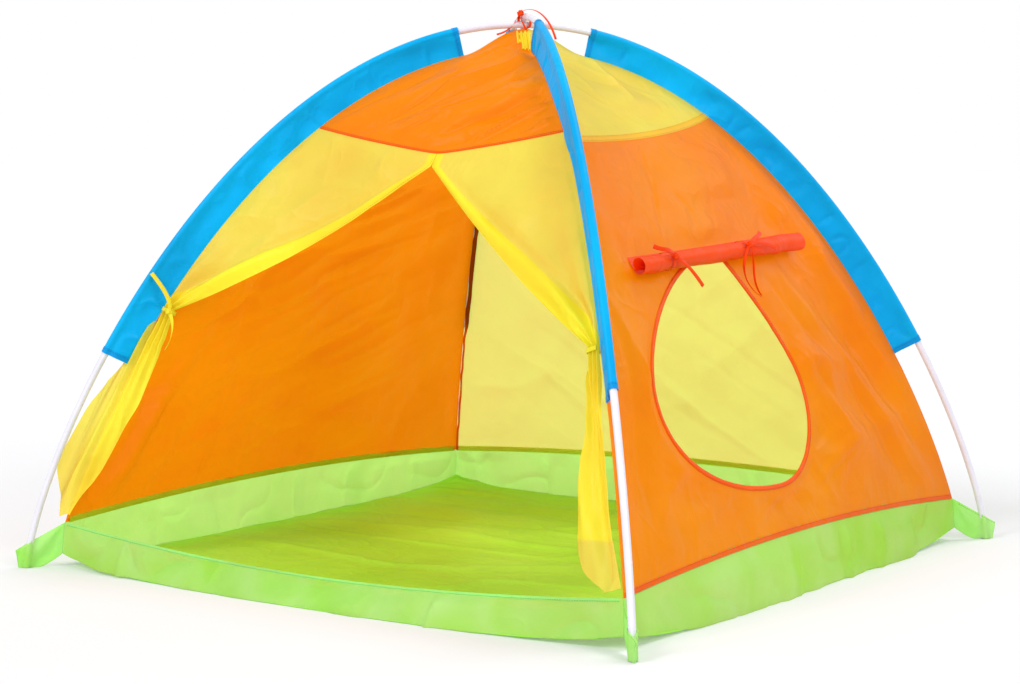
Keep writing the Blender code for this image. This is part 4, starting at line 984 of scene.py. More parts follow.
# Height and cell of each kind of relief on the strips, in metres.
RIPPLE, PUCKER, WAVE, DENT = (0.0070, 0.050), (0.0120, 0.09), (0.0110, 0.16), (0.0060, 0.07)
RUFFLE, SILL_HEM_RELIEF = (0.0015, 0.03), (0.0007, 0.012)
LEAST_HEIGHT, SILL_HEM_PROUD = 0.0004, 0.0012


def floor_edge(across, bulge):
    """Bottom edge of a strip of the tub, which bulges out between its lifted corners."""
    height = CORNER_LIFT * np.abs(across) ** LIFT_POWER
    return np.stack([across * (FLOOR_HALF - MITRE), -(FLOOR_HALF + bulge * (1 - across ** 2)), height], -1)


def wall_foot(across):
    """Upper edge of a strip below a wall."""
    return wall_point(across, hem_place(across) - GAP_PLACE / 2)


def sill_top(across):
    """Upper edge of the door sill, which dips between the front corners."""
    outer = wall_foot(across)
    calm = 1 - across ** 2
    outer[..., 2] -= (STRIP_MIDDLE - SILL_MIDDLE) * calm
    outer[..., 1] -= (FLOOR_HALF + outer[..., 1]) * calm
    return outer


def strip_points(side, top_of, bulge, seed, rows=44, columns=240):
    """Grid of a gathered strip, from its upper edge down and a little under the floor."""
    across = np.linspace(-1, 1, columns)[None]
    share = np.linspace(0, 1, rows)[:, None]
    top, low = top_of(across), floor_edge(across, bulge)
    line = top + (low - top) * share[..., None]
    belly = STRIP_BELLY * np.sin(np.pi * share) * (1 - across ** 2)
    line = line + OUTWARD * belly[..., None]
    stretch = line * np.array((1, 1, 0.28))
    ripple = RIPPLE[0] * noise(stretch / RIPPLE[1], seed) + PUCKER[0] * creased(stretch / PUCKER[1], seed + 1)
    ripple = ripple + WAVE[0] * noise(stretch / WAVE[1], seed + 2)
    ripple = ripple - DENT[0] * creased(line / DENT[1], seed + 5)
    calm = ease(share / 0.35) * ease((1 - np.abs(across)) / 0.05) * (1 - 0.35 * share)
    line = line + OUTWARD * (ripple * calm)[..., None]
    rise = RUFFLE[0] * noise(stretch / RUFFLE[1], seed + 3) * calm
    line[..., 2] = np.maximum(line[..., 2] + rise, LEAST_HEIGHT)
    under = line[-1:] * np.array((1 - TURN_UNDER / FLOOR_HALF, 1, 1)) + np.array((0, TURN_UNDER, 0))
    under[..., 2] = np.maximum(line[-1:, :, 2] * 0.9, LEAST_HEIGHT)
    return turned(np.concatenate([line, under]), SIDES[side])


def strip_cut(top_of, bulge):
    """Flat size and area that a strip is cut to."""
    across, share = np.linspace(-1, 1, 60)[None], np.linspace(0, 1, 30)[:, None, None]
    top, low = top_of(across), floor_edge(across, bulge)
    area = cloth_area(top + (low - top) * share)
    height = float(np.linalg.norm(top - low, axis=-1).max())
    return (round(2 * FLOOR_HALF, 3), round(height, 3)), round(area, 4)


for number, side in enumerate(SIDES):
    node = "door_sill" if side == "front" else f"{side}_base_strip"
    top_of, bulge = (sill_top, DOOR_BULGE) if side == "front" else (wall_foot, WALL_BULGE)
    grid = strip_points(side, top_of, bulge, 100 + 10 * number)
    strip = make_sheet(f"{node}_cloth", grid, GREEN, replaces=[node], slot="green_cloth")
    extras = []
    if side == "front":
        across = np.linspace(-0.99, 0.99, 240)
        top = sill_top(across)
        low = floor_edge(across, bulge)
        down = unit(low - top)
        hem = top[:, None] + down[:, None] * np.linspace(-0.0005, 0.0045, 6)[None, :, None]
        hem[..., 1] -= SILL_HEM_PROUD + SILL_HEM_RELIEF[0] * noise(hem / SILL_HEM_RELIEF[1], 9)
        hem = hem.transpose(1, 0, 2)
        extras = band_piece("door_sill_hem", hem, TEAL, (0.85,), GREEN_THREAD)
    size, area = strip_cut(top_of, bulge)
    print(node, "cut to", size, area)

# %% [markdown]
# The floor sheet lies loose on the ground. Broad swells and a few long creases cross it, and it
# rucks up near its edges, where the strips are sewn on and the corners are lifted.

# %% Floor sheet
# Height and cell of each kind of relief on the floor, in metres.
FLOOR_SWELL, FLOOR_CREASE, EDGE_CREASE = (0.011, 0.28), (0.0050, 0.20), (0.0028, 0.10)
FLOOR_HEIGHT, EDGE_REACH, EDGE_FADE = 0.0012, 0.12, 0.05
steps = np.linspace(-1, 1, 170)
v, u = np.meshgrid(steps, steps, indexing="ij")
half = FLOOR_HALF - CLOTH - SEAM_GAP
x = u * (half + WALL_BULGE * (1 - v ** 2))
y = v * (half + np.where(v < 0, DOOR_BULGE, WALL_BULGE) * (1 - u ** 2))
z = CORNER_LIFT * np.abs(u * v) ** LIFT_POWER + FLOOR_HEIGHT
flat = np.stack([x, y, z], -1)
edge = np.minimum(1 - np.abs(u), 1 - np.abs(v)) * half
swell = FLOOR_SWELL[0] * np.abs(noise(flat * (1, 2.2, 1) / FLOOR_SWELL[1], 151))
swell = swell + FLOOR_CREASE[0] * creased(flat * (1, 2.0, 1) / FLOOR_CREASE[1], 152)
swell = swell + EDGE_CREASE[0] * creased(flat / EDGE_CREASE[1], 153) * np.exp(-edge / EDGE_REACH)
flat[..., 2] += swell * ease(edge / EDGE_FADE)
floor_cloth = make_sheet("floor_cloth_sheet", flat, FLOOR_GREEN, replaces=["floor_sheet"],
                         slot="green_cloth")
size = (round(2 * (half + WALL_BULGE), 3), round(2 * half + WALL_BULGE + DOOR_BULGE, 3))
print("floor cut to", size)

# %% [markdown]
# The blue sleeves carry the poles. Each is a strip folded over its pole and sewn to the corner
# seam, so its section is a flat drop: round at the pole, closed at the seam. Between the two it
# waves a little, because the strip is cut straight and the pole is bent. The one beside the door
# slumps over the door's side near the top.

# %% Sleeves
SLEEVE_SLACK, SLEEVE_COLUMNS, SLEEVE_ROWS, SLEEVE_HEM = 0.0012, 44, 260, 0.010
SLUMP, SLUMP_LOW, SLUMP_HIGH, SHORTER_BY = 0.011, 10.0, 16.5, 0.014
WAVE_ALONG, WAVE_ACROSS, WAVE_HEIGHT, WAVE_CREASE = 0.048, 0.045, 0.0034, 0.0040
THIN, HEM_PROUD = 0.0007, 0.0007


def sleeve_rings(arch, places, extra, seed, slump=0.0):
    """Rings of a sleeve in the XZ plane, and how far each point is from the seam, 0 to 1."""
    eye, seam = at(arch, places), at(SEAM, places)
    normal = unit(eye - seam)
    length = np.linalg.norm(eye - seam, axis=-1)[:, None]
    radius = POLE_OUTER / 2 + SLEEVE_SLACK + extra
    flat = np.linspace(0, 1, SLEEVE_COLUMNS // 2 - 7)
    thin = THIN + extra
    bulge = thin + (radius - thin) * flat ** 2.6
    arc = np.pi * (np.linspace(0, 1, 15)[1:-1] - 0.5)
    out = np.concatenate([flat * length, length + radius * np.cos(arc), flat[::-1] * length], 1)
    side = np.concatenate([-bulge, radius * np.sin(arc), bulge[::-1]])
    share = np.concatenate([flat, np.ones(len(arc)), flat[::-1]])
    walked = places[:, None] * STEP_LENGTH
    wave = np.stack([walked / WAVE_ALONG + 0 * out, out / WAVE_ACROSS, 0 * out + seed], -1)
    sway = WAVE_HEIGHT * noise(wave, seed) + WAVE_CREASE * creased(wave * (1.5, 0.6, 1), seed + 1)
    side = side + sway * np.sin(np.pi * np.clip(share * 1.12, 0, 1)) * ease((1.0 - share) / 0.3)
    lean = slump * ease((places - SLUMP_LOW) / (SLUMP_HIGH - SLUMP_LOW))[:, None]
    side = side - lean * np.sin(np.pi * share ** 0.55) * ease((1.0 - share) / 0.2)
    spot = seam[:, None] + normal[:, None] * out[..., None]
    return np.stack([spot[..., 0], side, spot[..., 1]], -1), share


for number, (corner, degrees) in enumerate(CORNERS.items()):
    arch = LOWER_ARCH if corner in ("back_right", "front_left") else UPPER_ARCH
    seed = 200 + 10 * number
    slump, shorter = (SLUMP, SHORTER_BY) if corner == "front_right" else (0.0, 0.0)
    sleeve_top = SLEEVE_HIGH - shorter / STEP_LENGTH
    places = np.linspace(SLEEVE_LOW, sleeve_top, SLEEVE_ROWS)
    rings, share = sleeve_rings(arch, places, 0.0, seed, slump)
    sleeve = make_sheet(f"{corner}_sleeve_cloth", turned(rings, degrees), BLUE,
                        replaces=[f"{corner}_sleeve"], slot="blue_cloth")
    extras = []
    for end, start, stop in (("lower", SLEEVE_LOW, SLEEVE_LOW + SLEEVE_HEM / STEP_LENGTH),
                             ("upper", sleeve_top - SLEEVE_HEM / STEP_LENGTH, sleeve_top)):
        hem, _ = sleeve_rings(arch, np.linspace(start, stop, 8), HEM_PROUD, seed, slump)
        hem = turned(hem, degrees)
        extras.append(make_sheet(f"{corner}_{end}_sleeve_hem", hem, BLUE, doubled=1.0))
        row = hem[5 if end == "lower" else 2]
        away = row - row.mean(0)
        extras.append(stitches(f"{corner}_{end}_sleeve_stitches", row, away, BLUE_THREAD, lift=0.0003))
    width = 2 * SLEEVE_WIDTH + (math.pi - 2) * POLE_OUTER / 2

# %% [markdown]
# Four doubled tabs at the tub's corners hold the feet of the poles. Two layers lie together and
# bulge only where the tube stands between them, with folds that fan out from the tub's corner.

# %% Pole pockets
POCKET_MARGIN, POCKET_END, SOLE_DROP = 0.012, 0.030, 0.010
FAN_FOLD, BESIDE_HEIGHT, BESIDE_WIDTH, ROUND_TUBE = 0.0035, 0.0022, 0.004, 0.0010
tub_foot = np.array((FLOOR_HALF * ROOT2, CORNER_LIFT))
tub_top = at(SEAM, HEM)


def pocket_layers(arch, seed, rows=40, columns=44):
    """Front and back layer of a tab, rows from the tub to its end, columns from sole to top."""
    end = POLE_REACH + POLE_OUTER / 2 + POCKET_MARGIN
    u, v = np.meshgrid(np.linspace(0, 1, rows), np.linspace(0, 1, columns), indexing="ij")
    near = tub_foot + (tub_top - tub_foot) * v[..., None]
    far = np.stack([np.full_like(v, end) - 0.004 * (1 - v), POCKET_END * v], -1)
    spot = near + (far - near) * u[..., None]
    sole = np.sin(np.pi * np.clip(u, 0, 1)) * (1 - v) * SOLE_DROP
    spot[..., 1] = np.maximum(spot[..., 1] - sole, 0.0008)
    foot, lean = arch[0], unit(arch[20] - arch[0])
    away = np.abs((spot[..., 0] - foot[0]) * lean[1] - (spot[..., 1] - foot[1]) * lean[0])
    radius = POLE_OUTER / 2 + ROUND_TUBE
    beside = BESIDE_HEIGHT * np.exp(-((away - radius) / BESIDE_WIDTH) ** 2) * (away > radius)
    bulge = np.sqrt(np.maximum(radius ** 2 - away ** 2, 0)) + beside
    edge = np.minimum(np.minimum(u, 1 - u), v) * 4
    half = 0.0006 + bulge
    fan = np.arctan2(spot[..., 1] - tub_top[1], spot[..., 0] - tub_top[0] + 0.004)
    fold = FAN_FOLD * np.sin(fan * 9 + seed) * np.sin(np.pi * np.clip(u, 0, 1)) * ease(edge)
    fold = fold + 0.002 * noise(np.stack([u * 4, v * 3, 0 * u + seed], -1), seed)
    calm = 1 - np.exp(-(away / 0.012) ** 2)
    return [np.stack([spot[..., 0], fold * calm + way * half, spot[..., 1]], -1) for way in (-1, 1)]


for number, (corner, degrees) in enumerate(CORNERS.items()):
    arch = LOWER_ARCH if corner in ("back_right", "front_left") else UPPER_ARCH
    front, back = pocket_layers(arch, 320 + number)
    rows, columns = front.shape[:2]
    around = np.concatenate([front[:, ::-1], back], axis=1)
    faces = grid_faces(rows, 2 * columns).tolist()
    last = (rows - 1) * 2 * columns
    for c in range(columns - 1):
        a, b = columns - 1 - c, columns + c
        for base in (0, last):
            faces.append([base + a, base + a - 1, base + b + 1, base + b])
    pocket = make_piece(f"{corner}_pocket_cloth", turned(around, degrees), faces, GREEN, doubled=1.0,
                        replaces=[f"{corner}_pole_pocket"], slot="green_cloth")
    mouth = turned(front[6:, -4], degrees)
    rows_piece = stitches(f"{corner}_pocket_stitches", mouth, turned(OUTWARD, degrees), GREEN_THREAD)
    area = 2 * cloth_area(front)
print("pocket cloth:", round(area, 4), "m2")

# %% [markdown]
# Each door flap is drawn aside and tied to its corner. Above the knot it is a swag: a sheet that
# hangs from the band, sewn along the corner, with its free edge sagging to the knot. Its folds
# start at the knot and die out upwards, and the free edge has a wide doubled facing.

# %% Door flaps above their ties
EDGE_SAG, LEFT_KNOT, RIGHT_KNOT = 0.018, 0.424, 0.406
NECK_LENGTH, BUNDLE_WIDTH, BUNDLE_DEPTH, FOLDS = 0.012, 0.020, 0.005, 2.5
HINGE_INSET, HINGE_DEPTH = 0.0022, 0.0005
TAIL_FOOT, TAIL_TURN = 0.088, math.radians(12)
SWAG_SEEDS = {"left": 400, "right": 420}
SLIT_SHARE, FAN_HEIGHT, FAN_WAVES = 0.04, 0.0085, 1.7
VALLEY_DEPTH, VALLEY_INSET, VALLEY_WIDTH = 0.0055, 0.008, 0.011
UP = np.array((0.0, 0.0, 1.0))
FACING_TOP, FACING_LOW, FACING_PUFF = 0.012, 0.042, 0.0055


class DoorCorner:
    """The line that a tied-back flap hangs from, at one front corner."""

    def __init__(self, hand, knot_height):
        self.hand = hand
        self.knot = float(place_at_height(knot_height))
        self.top = self.inset(self.knot)
        self.foot = self.inset(float(place_at_height(TAIL_FOOT)))
        self.axis = unit(self.top - self.foot)
        into = np.array((-hand * math.cos(TAIL_TURN), math.sin(TAIL_TURN), 0))
        self.into = unit(into - self.axis * (into @ self.axis))
        self.out = np.cross(self.axis, self.into) * hand
        self.drop = float(np.linalg.norm(self.top - self.foot))

    def inset(self, place):
        """Point just inside the corner seam."""
        return wall_point(self.hand, place) + (-self.hand * HINGE_INSET, HINGE_DEPTH, 0)

    def bundle(self, w, rise=0.0):
        """Points across the gathered cloth."""
        fold = BUNDLE_DEPTH * np.sin(2 * np.pi * FOLDS * w)
        return (self.top + self.axis * rise + self.into * (BUNDLE_WIDTH * w)[..., None]
                + self.out * fold[..., None])

    def round_it(self, across_share, out_share):
        """Point of the tape round the gathered cloth."""
        reach = BUNDLE_WIDTH + SEAM_GAP + TAPE_THICK
        depth = BUNDLE_DEPTH + CLOTH / 2 + SEAM_GAP + TAPE_THICK
        middle = self.top + self.axis * (NECK_LENGTH / 2)
        return middle + self.into * (reach * across_share) + self.out * (depth * out_share)


def swag_grid(corner, seed, rows=120, columns=110):
    """Grid of a swag: rows from the band down to the knot, columns from the seam to the free edge."""
    s, w = np.meshgrid(np.linspace(0, 1, rows), np.linspace(0, 1, columns), indexing="ij")
    neck = corner.knot + NECK_LENGTH / STEP_LENGTH
    band_edge = float(door_band(corner.hand)) - GAP_PLACE
    row = band_edge + (neck - band_edge) * s
    sewn = wall_point(corner.hand, row)
    start_place = float(place_at_height(door_band_height(0.0) - SLIT_LENGTH))
    side = corner.hand * SEAM_GAP
    start = wall_point((SLIT_SHIFT + side) / half_width(start_place), start_place)
    end = corner.bundle(np.array(1.0), NECK_LENGTH)
    sag = -UP * EDGE_SAG * 4 / 3
    free_share = np.clip((s - SLIT_SHARE) / (1 - SLIT_SHARE), 0, 1)
    free = bezier(start, start + (end - start) / 3 + sag, start + (end - start) * 2 / 3 + sag, end,
                  free_share)
    slit = (SLIT_SHIFT + side) / float(half_width(door_band(0.0)))
    mark = corner.hand + (slit - corner.hand) * w
    top = wall_point(mark, door_band(mark) - GAP_PLACE)
    along_slit = top[:, -1:] + (start - top[:, -1:]) * (s / SLIT_SHARE)[..., None]
    free = np.where((s < SLIT_SHARE)[..., None], along_slit, free)
    line = sewn + (free - sewn) * w[..., None]
    flat_top = sewn[:1] + (free[:1] - sewn[:1]) * w[:1, :, None]
    line = line + (top[:1] - flat_top) * ((1 - s) ** 2.2)[..., None]
    normal = wall_normal(row)
    to_edge = (1 - w) * np.linalg.norm(free - sewn, axis=-1)
    facing_width = FACING_TOP + (FACING_LOW - FACING_TOP) * ease(s / 0.7)
    facing = 1 - ease((to_edge - facing_width) / 0.002)
    puff = FACING_PUFF * np.sin(np.pi * np.clip(to_edge / facing_width, 0, 1)) * ease(s / 0.15)
    valley = -VALLEY_DEPTH * np.exp(-((to_edge - facing_width - VALLEY_INSET) / VALLEY_WIDTH) ** 2)
    valley = valley * ease(s / 0.3) * ease(w / 0.2)
    wander = 0.5 * noise(np.stack([s * 2.5, w * 2, 0 * s], -1), seed)
    fan = FAN_HEIGHT * s ** 1.3 * np.sin(2 * np.pi * FAN_WAVES * w + 0.4 + wander) * np.sin(np.pi * w) ** 0.35
    neck_fold = BUNDLE_DEPTH * np.sin(2 * np.pi * FOLDS * w)
    lift = (fan + valley + puff) * (1 - ease((s - 0.8) / 0.2)) + neck_fold * ease((s - 0.74) / 0.26)
    edge = np.minimum(w * 0.4, s * 0.3)
    calm = ease(edge / 0.03) * (1 - ease((s - 0.7) / 0.3)) * (0.25 + 0.75 * ease(to_edge / 0.07))
    lift = lift + crumple(line, seed, 1.1) * calm
    blend = ease((s - 0.86) / 0.14)[..., None]
    bundle = corner.bundle(w, NECK_LENGTH)
    line = line + normal * lift[..., None]
    return line * (1 - blend) + bundle * blend, facing


def swag_neck(corner, grid, rows=8):
    """The swag goes on straight through the tie."""
    w = np.broadcast_to(np.linspace(0, 1, grid.shape[1])[None], (rows, grid.shape[1]))
    rise = NECK_LENGTH + (SEAM_GAP - NECK_LENGTH) * np.linspace(0, 1, rows)[1:]
    return np.concatenate([grid] + [corner.bundle(w[:1], r) for r in rise])


corners = {"left": DoorCorner(-1, LEFT_KNOT), "right": DoorCorner(1, RIGHT_KNOT)}
swags, swag_extras = {}, {"left": [], "right": []}
for label, corner in corners.items():
    grid, facing = swag_grid(corner, SWAG_SEEDS[label])
    whole = swag_neck(corner, grid)
    doubled = np.concatenate([facing, np.ones((len(whole) - len(grid), grid.shape[1]))])
    swags[label] = make_sheet(f"{label}_swag_cloth", whole, YELLOW, doubled=doubled,
                              replaces=[f"{label}_door_swag"], slot="yellow_cloth")
    rim = grid[:, -1] + unit(grid[:, -2] - grid[:, -1]) * 0.003
    normal = unit(np.cross(np.gradient(grid[:, -1], axis=0), grid[:, -2] - grid[:, -1])) * corner.hand
    if normal[:, 1].mean() > 0:
        normal = -normal
    swag_extras[label].append(stitches(f"{label}_swag_stitches", rim[2:-20], normal[2:-20], YELLOW_THREAD))

# %% [markdown]
# Below the knot the rest of the flap hangs as a tail. It turns about the corner seam on its own
# body, so it is a piece of its own with the same folds at its top edge. The left one also hangs
# out over its corner, and that part is sewn to the seam and stays with the tent. The lower corner
# of the right tail is turned up, so it shows one paler layer below a slanting fold.

# %% Door flaps below their ties
LEFT_INNER = ((0.0, 0.0200), (0.08, 0.0235), (0.20, 0.0265), (0.43, 0.0310), (0.50, 0.0265),
              (0.64, 0.0240), (0.78, 0.0190), (0.88, 0.0080), (1.0, 0.0020))
LEFT_OUTER = ((0.0, 0.0), (0.08, 0.0070), (0.26, 0.0240), (0.36, 0.0345), (0.50, 0.0480),
              (0.66, 0.0500), (0.78, 0.0510), (0.84, 0.0470), (0.89, 0.0346), (0.94, 0.0200), (1.0, 0.0090))
RIGHT_INNER = ((0.0, 0.0200), (0.08, 0.0285), (0.20, 0.0345), (0.35, 0.0435), (0.50, 0.0540),
               (0.65, 0.0660), (0.80, 0.0750), (0.92, 0.0615), (1.0, 0.0255))

BROAD_HEIGHT, BROAD_WAVE, TAIL_CREASE = 0.0080, 0.055, 0.0022
DRAPE_START, DRAPE_PUSH, DRAPE_DROP = 0.0015, 0.004, 0.010


def edge_line(table, share):
    """A tail's edge from a table, with its corners rounded."""
    marks, values = np.array(table).T
    near = np.linspace(-0.04, 0.04, 9)
    spots = np.clip(share[..., None] + near * np.minimum(1, share * 25)[..., None], 0, 1)
    return np.interp(spots, marks, values).mean(-1)


def tail_points(corner, share, x, pleats, seed):
    """Points of a tail: share down from its knot, x metres in from the line it hangs from."""
    w = x / BUNDLE_WIDTH
    wander = 0.9 * noise(np.stack([share * 2.2, w * 0.5, 0 * w + seed], -1), seed) * ease(share / 0.15)
    phase = 2 * np.pi * FOLDS * w / (1 + 1.6 * share) + wander
    tight = BUNDLE_DEPTH * (1 - pleats * ease(share / 0.45)) * np.sin(phase)
    broad = BROAD_HEIGHT * ease(share / 0.30) * np.sin(2 * np.pi * x / BROAD_WAVE + 1.2 + 1.5 * wander)
    fold = tight + broad * ease((1.03 - share) / 0.25)
    crease = TAIL_CREASE * creased(np.stack([share * 3.5, w * 0.8, 0 * w], -1), seed + 1)
    fold = fold + crease * ease(share / 0.1)
    return (corner.top + corner.into * x[..., None] + corner.out * fold[..., None]
            - corner.axis * (corner.drop * share)[..., None])


TAILS = {"left": (LEFT_INNER, 0.84, 440), "right": (RIGHT_INNER, 0.92, 460)}
for label, (inner_table, pleats, seed) in TAILS.items():
    corner = corners[label]
    share, w = np.meshgrid(np.linspace(0, 1, 130), np.linspace(0, 1, 80), indexing="ij")
    x = edge_line(inner_table, share) * w
    grid = tail_points(corner, share, x, pleats, seed)
    slant = 0.80 - 0.05 * w if label == "right" else 2.0
    doubled = 0.85 * (1 - ease((share - slant) / 0.012))
    if label == "right":
        grid = grid + corner.out * (0.0016 * (1 - ease((share - slant) / 0.02)))[..., None]
    tail = make_sheet(f"{label}_tail_cloth", grid, YELLOW, f"{label}_tail", doubled=doubled,
                      replaces=[f"{label}_door_tail"], slot="yellow_cloth")
    print(label, "tail:", area, "m2")

corner = corners["left"]
share, w = np.meshgrid(np.linspace(0.0, 1, 130), np.linspace(0, 1, 60), indexing="ij")
x = DRAPE_START - (edge_line(LEFT_OUTER, share) + DRAPE_START) * w
_, pleats, seed = TAILS["left"]
grid = tail_points(corner, share, x, pleats, seed)
hung = corner.top - corner.axis * (corner.drop * share)[..., None]
bowed = hung[..., 1] - wall_point(corner.hand, place_at_height(hung[..., 2]))[..., 1]
push = (np.maximum(bowed, 0) + DRAPE_PUSH) * ease(-x / 0.010)
drop = DRAPE_DROP * w ** 2 * ease(share / 0.9)
grid = grid + corner.out * push[..., None] - corner.axis * drop[..., None]
drape = make_sheet("left_corner_drape", grid, YELLOW, doubled=0.5 * (1 - ease(w / 0.8)))
swag_extras["left"].append(drape)
print("left drape:", round(cloth_area(grid), 4), "m2")

# %% [markdown]
# Every tie here ends in a knot and loose ends. A knot pulled tight is a small lump, grooved where
# one turn of the tape crosses the other. A loose end is a short curve away from it.

# %% Knots and loose ends
KNOT_RADIUS = 0.0055


def knot(name, centre, axis, way, finish, body="tent", scale=1.0):
    """A pulled-tight knot: a small lump with grooves between its turns."""
    u, v = np.meshgrid(np.linspace(0, 2 * np.pi, 25)[:-1], np.linspace(0, np.pi, 15), indexing="xy")
    third = np.cross(axis, way)
    ball = (np.cos(v)[..., None] * axis + (np.sin(v) * np.cos(u))[..., None] * way
            + (np.sin(v) * np.sin(u))[..., None] * third)
    wrap = 1 + 0.16 * np.sin(3 * u + 2.2 * np.cos(v)) + 0.12 * np.sin(7 * v + u)
    points = centre + ball * (KNOT_RADIUS * scale * wrap)[..., None]
    return make_piece(name, points, grid_faces(*v.shape, wrap=True), finish, body, 1.0)


def curl(start, *others, count=28):
    """A loose end: a curve from its start, its other three points given from there."""
    return bezier(start, *[start + np.asarray(other) for other in others], np.linspace(0, 1, count))


print("knot builders ready")

# %% [markdown]
# The door ties are narrow yellow tapes sewn in at the corner. Each goes round the gathered cloth
# and is knotted: the left one in front, with one end up over the sleeve and one hanging beside
# the tail, the right one inside.

# %% Door ties
# Path of the loop: share of the bundle's width and of its depth.
LOOP_PATH = ((0.02, 1.0), (0.5, 1.15), (0.96, 1.0), (1.06, 0.5),
             (1.06, -0.5), (0.96, -1.0), (0.5, -1.15), (0.02, -1.0))
for label, corner in corners.items():
    path = evenly(np.array([corner.round_it(a, b) for a, b in LOOP_PATH]), 40)
    if label == "left":
        centre = corner.round_it(0.80, 1) + corner.out * KNOT_RADIUS * 0.75
        sleeve_way = unit(np.array((corner.hand, -1.0, 0)))
        front = unit(np.array((-corner.hand, -1.0, 0)))
        over = curl(centre, corner.axis * 0.018 + front * 0.006,
                    corner.axis * 0.046 + sleeve_way * 0.030 + front * 0.003,
                    corner.axis * 0.070 + sleeve_way * 0.057 - front * 0.006)
        tape("left_tie_upper_end", over, np.cross(over[-1] - over[0], front), YELLOW, twist=15)
        hang = curl(centre, -corner.axis * 0.010 + corner.into * 0.020 + corner.out * 0.004,
                    -corner.axis * 0.036 + corner.into * 0.030,
                    -corner.axis * 0.060 + corner.into * 0.022 - corner.out * 0.004)
        tape("left_tie_lower_end", hang, corner.into, YELLOW, twist=70)
    else:
        centre = corner.round_it(0.35, -1) - corner.out * KNOT_RADIUS * 0.75
        stand = curl(centre, corner.axis * 0.018 - corner.out * 0.004,
                     corner.axis * 0.040 + corner.into * 0.005 - corner.out * 0.006,
                     corner.axis * 0.058 + corner.into * 0.014 - corner.out * 0.004)
        tape("right_tie_upper_end", stand, corner.into, YELLOW, twist=20)
        inner_end = curl(centre, (0, 0.018, 0.004), (0, 0.040, -0.002), (0.0, 0.044, -0.038))
        tape("right_tie_lower_end", inner_end, corner.into, YELLOW, twist=30)
    band_round = tape(f"{label}_tie_loop", path, corner.axis, YELLOW, replaces=[f"{label}_door_tie"],
                      slot="yellow_cloth")
    lump = knot(f"{label}_tie_knot", centre, corner.into, corner.axis, YELLOW)
    grid, _ = swag_grid(corner, SWAG_SEEDS[label], 30, 30)
    area = round(cloth_area(grid), 3)
    print(label, "tie ready, swag area", area)

# %% [markdown]
# The window's flap is rolled up from below and held by two ties. It is drawn as its real spiral
# of a little over two turns, squeezed under the ties and opened wide at its right end. Its inner
# turns are crushed at the left end. It hangs on its own body, hinged at its top seam.

# %% Place of the rolled flap
ROLL_SEAM, ROLL_CLIMB, ROLL_LEFT, ROLL_RIGHT = WINDOW_HEAD + 0.009, 0.036, 0.272, 0.243
ROLL_RADIUS, ROLL_PITCH, ROLL_CLOTH, ROLL_TURNS = 0.0155, 0.0042, 0.0014, 2.25
ROLL_DROP, ROLL_SEAM_LENGTH, SEAM_ROWS = 0.022, 0.003, 8
LEFT_TIE, RIGHT_TIE, TIE_PINCH, LEFT_PINCH, RIGHT_PINCH = -0.195, 0.047, 0.016, 0.20, 0.24
END_SLIP, LEFT_SLIP, RIGHT_SLIP, CRUSH_REACH, CRUSH_SHARE = 0.022, 0.011, 0.009, 0.045, 0.55
ROLL_RELIEF, SLACK_SHARE = 0.0010, 0.10


def roll_seam(along):
    """Points of the flap's seam on the front wall. It climbs a little along the wall."""
    place = place_at_height(ROLL_SEAM + ROLL_CLIMB * np.asarray(along, float))
    return wall_point(along / half_width(place), place, -(ROLL_CLOTH / 2 + SEAM_GAP))


roll_along = unit(roll_seam(ROLL_RIGHT) - roll_seam(-ROLL_LEFT))
roll_out = wall_normal(place_at_height(ROLL_SEAM))
roll_out = unit(roll_out - roll_along * (roll_out @ roll_along))
roll_up = np.cross(roll_out, roll_along)
roll_zero = roll_seam(ROLL_RIGHT) - roll_along * (roll_seam(ROLL_RIGHT)[0] / roll_along[0])


def roll_world(along, out, up):
    """Point of the roll: along its axis, outwards and up from its hinge."""
    along, out, up = (np.asarray(n, float)[..., None] for n in (along, out, up))
    return turned(roll_zero + along * roll_along + out * roll_out + up * roll_up, SIDES["right"])


print("roll's axis", [round(float(value), 3) for value in turned(roll_along, SIDES["right"])])

# %% [markdown]
# The cloth runs down from its seam and round the spiral, one row of points after another. Its
# radius shrinks with each turn. The last lines slip the turns past each other at both ends.

# %% Cloth of the rolled flap
ROLL_CENTRE = (TAPE_THICK + 2 * SEAM_GAP + ROLL_RADIUS, -ROLL_DROP)
columns = np.linspace(-ROLL_LEFT, ROLL_RIGHT, 150)
turn = np.linspace(0, ROLL_TURNS, 150)
angle = np.pi + 2 * np.pi * turn
left_pinch = LEFT_PINCH * np.exp(-((columns - LEFT_TIE) / TIE_PINCH) ** 2)
right_pinch = RIGHT_PINCH * np.exp(-((columns - RIGHT_TIE) / TIE_PINCH) ** 2)
pinch = 1 - left_pinch - right_pinch
flare = ease((columns - RIGHT_TIE - 0.02) / 0.10)
loose = 1 + 0.05 * noise(np.stack([columns / 0.07, 0 * columns, 0 * columns], -1), 501)
radius = (ROLL_RADIUS - ROLL_PITCH * turn)[:, None] * pinch[None] * np.minimum(loose, 1.03)[None]
cells = np.stack([columns[None] / 0.045 + 0 * radius, turn[:, None] * 0.8 + 0 * radius, 0 * radius], -1)
slack = SLACK_SHARE * noise(cells, 503)
radius = radius * (1 - np.abs(slack) * ease(turn / 0.2)[:, None])
crushed = np.exp(-(columns + ROLL_LEFT) / CRUSH_REACH)[None] * ease((turn - 0.85) / 0.5)[:, None]
radius = radius * (1 - CRUSH_SHARE * crushed * (0.5 + 0.5 * np.cos(3 * angle + 0.8))[:, None])
out = ROLL_CENTRE[0] + np.cos(angle)[:, None] * radius * (1 - 0.22 * flare)
up = ROLL_CENTRE[1] + np.sin(angle)[:, None] * radius * (1 + 0.12 * flare)
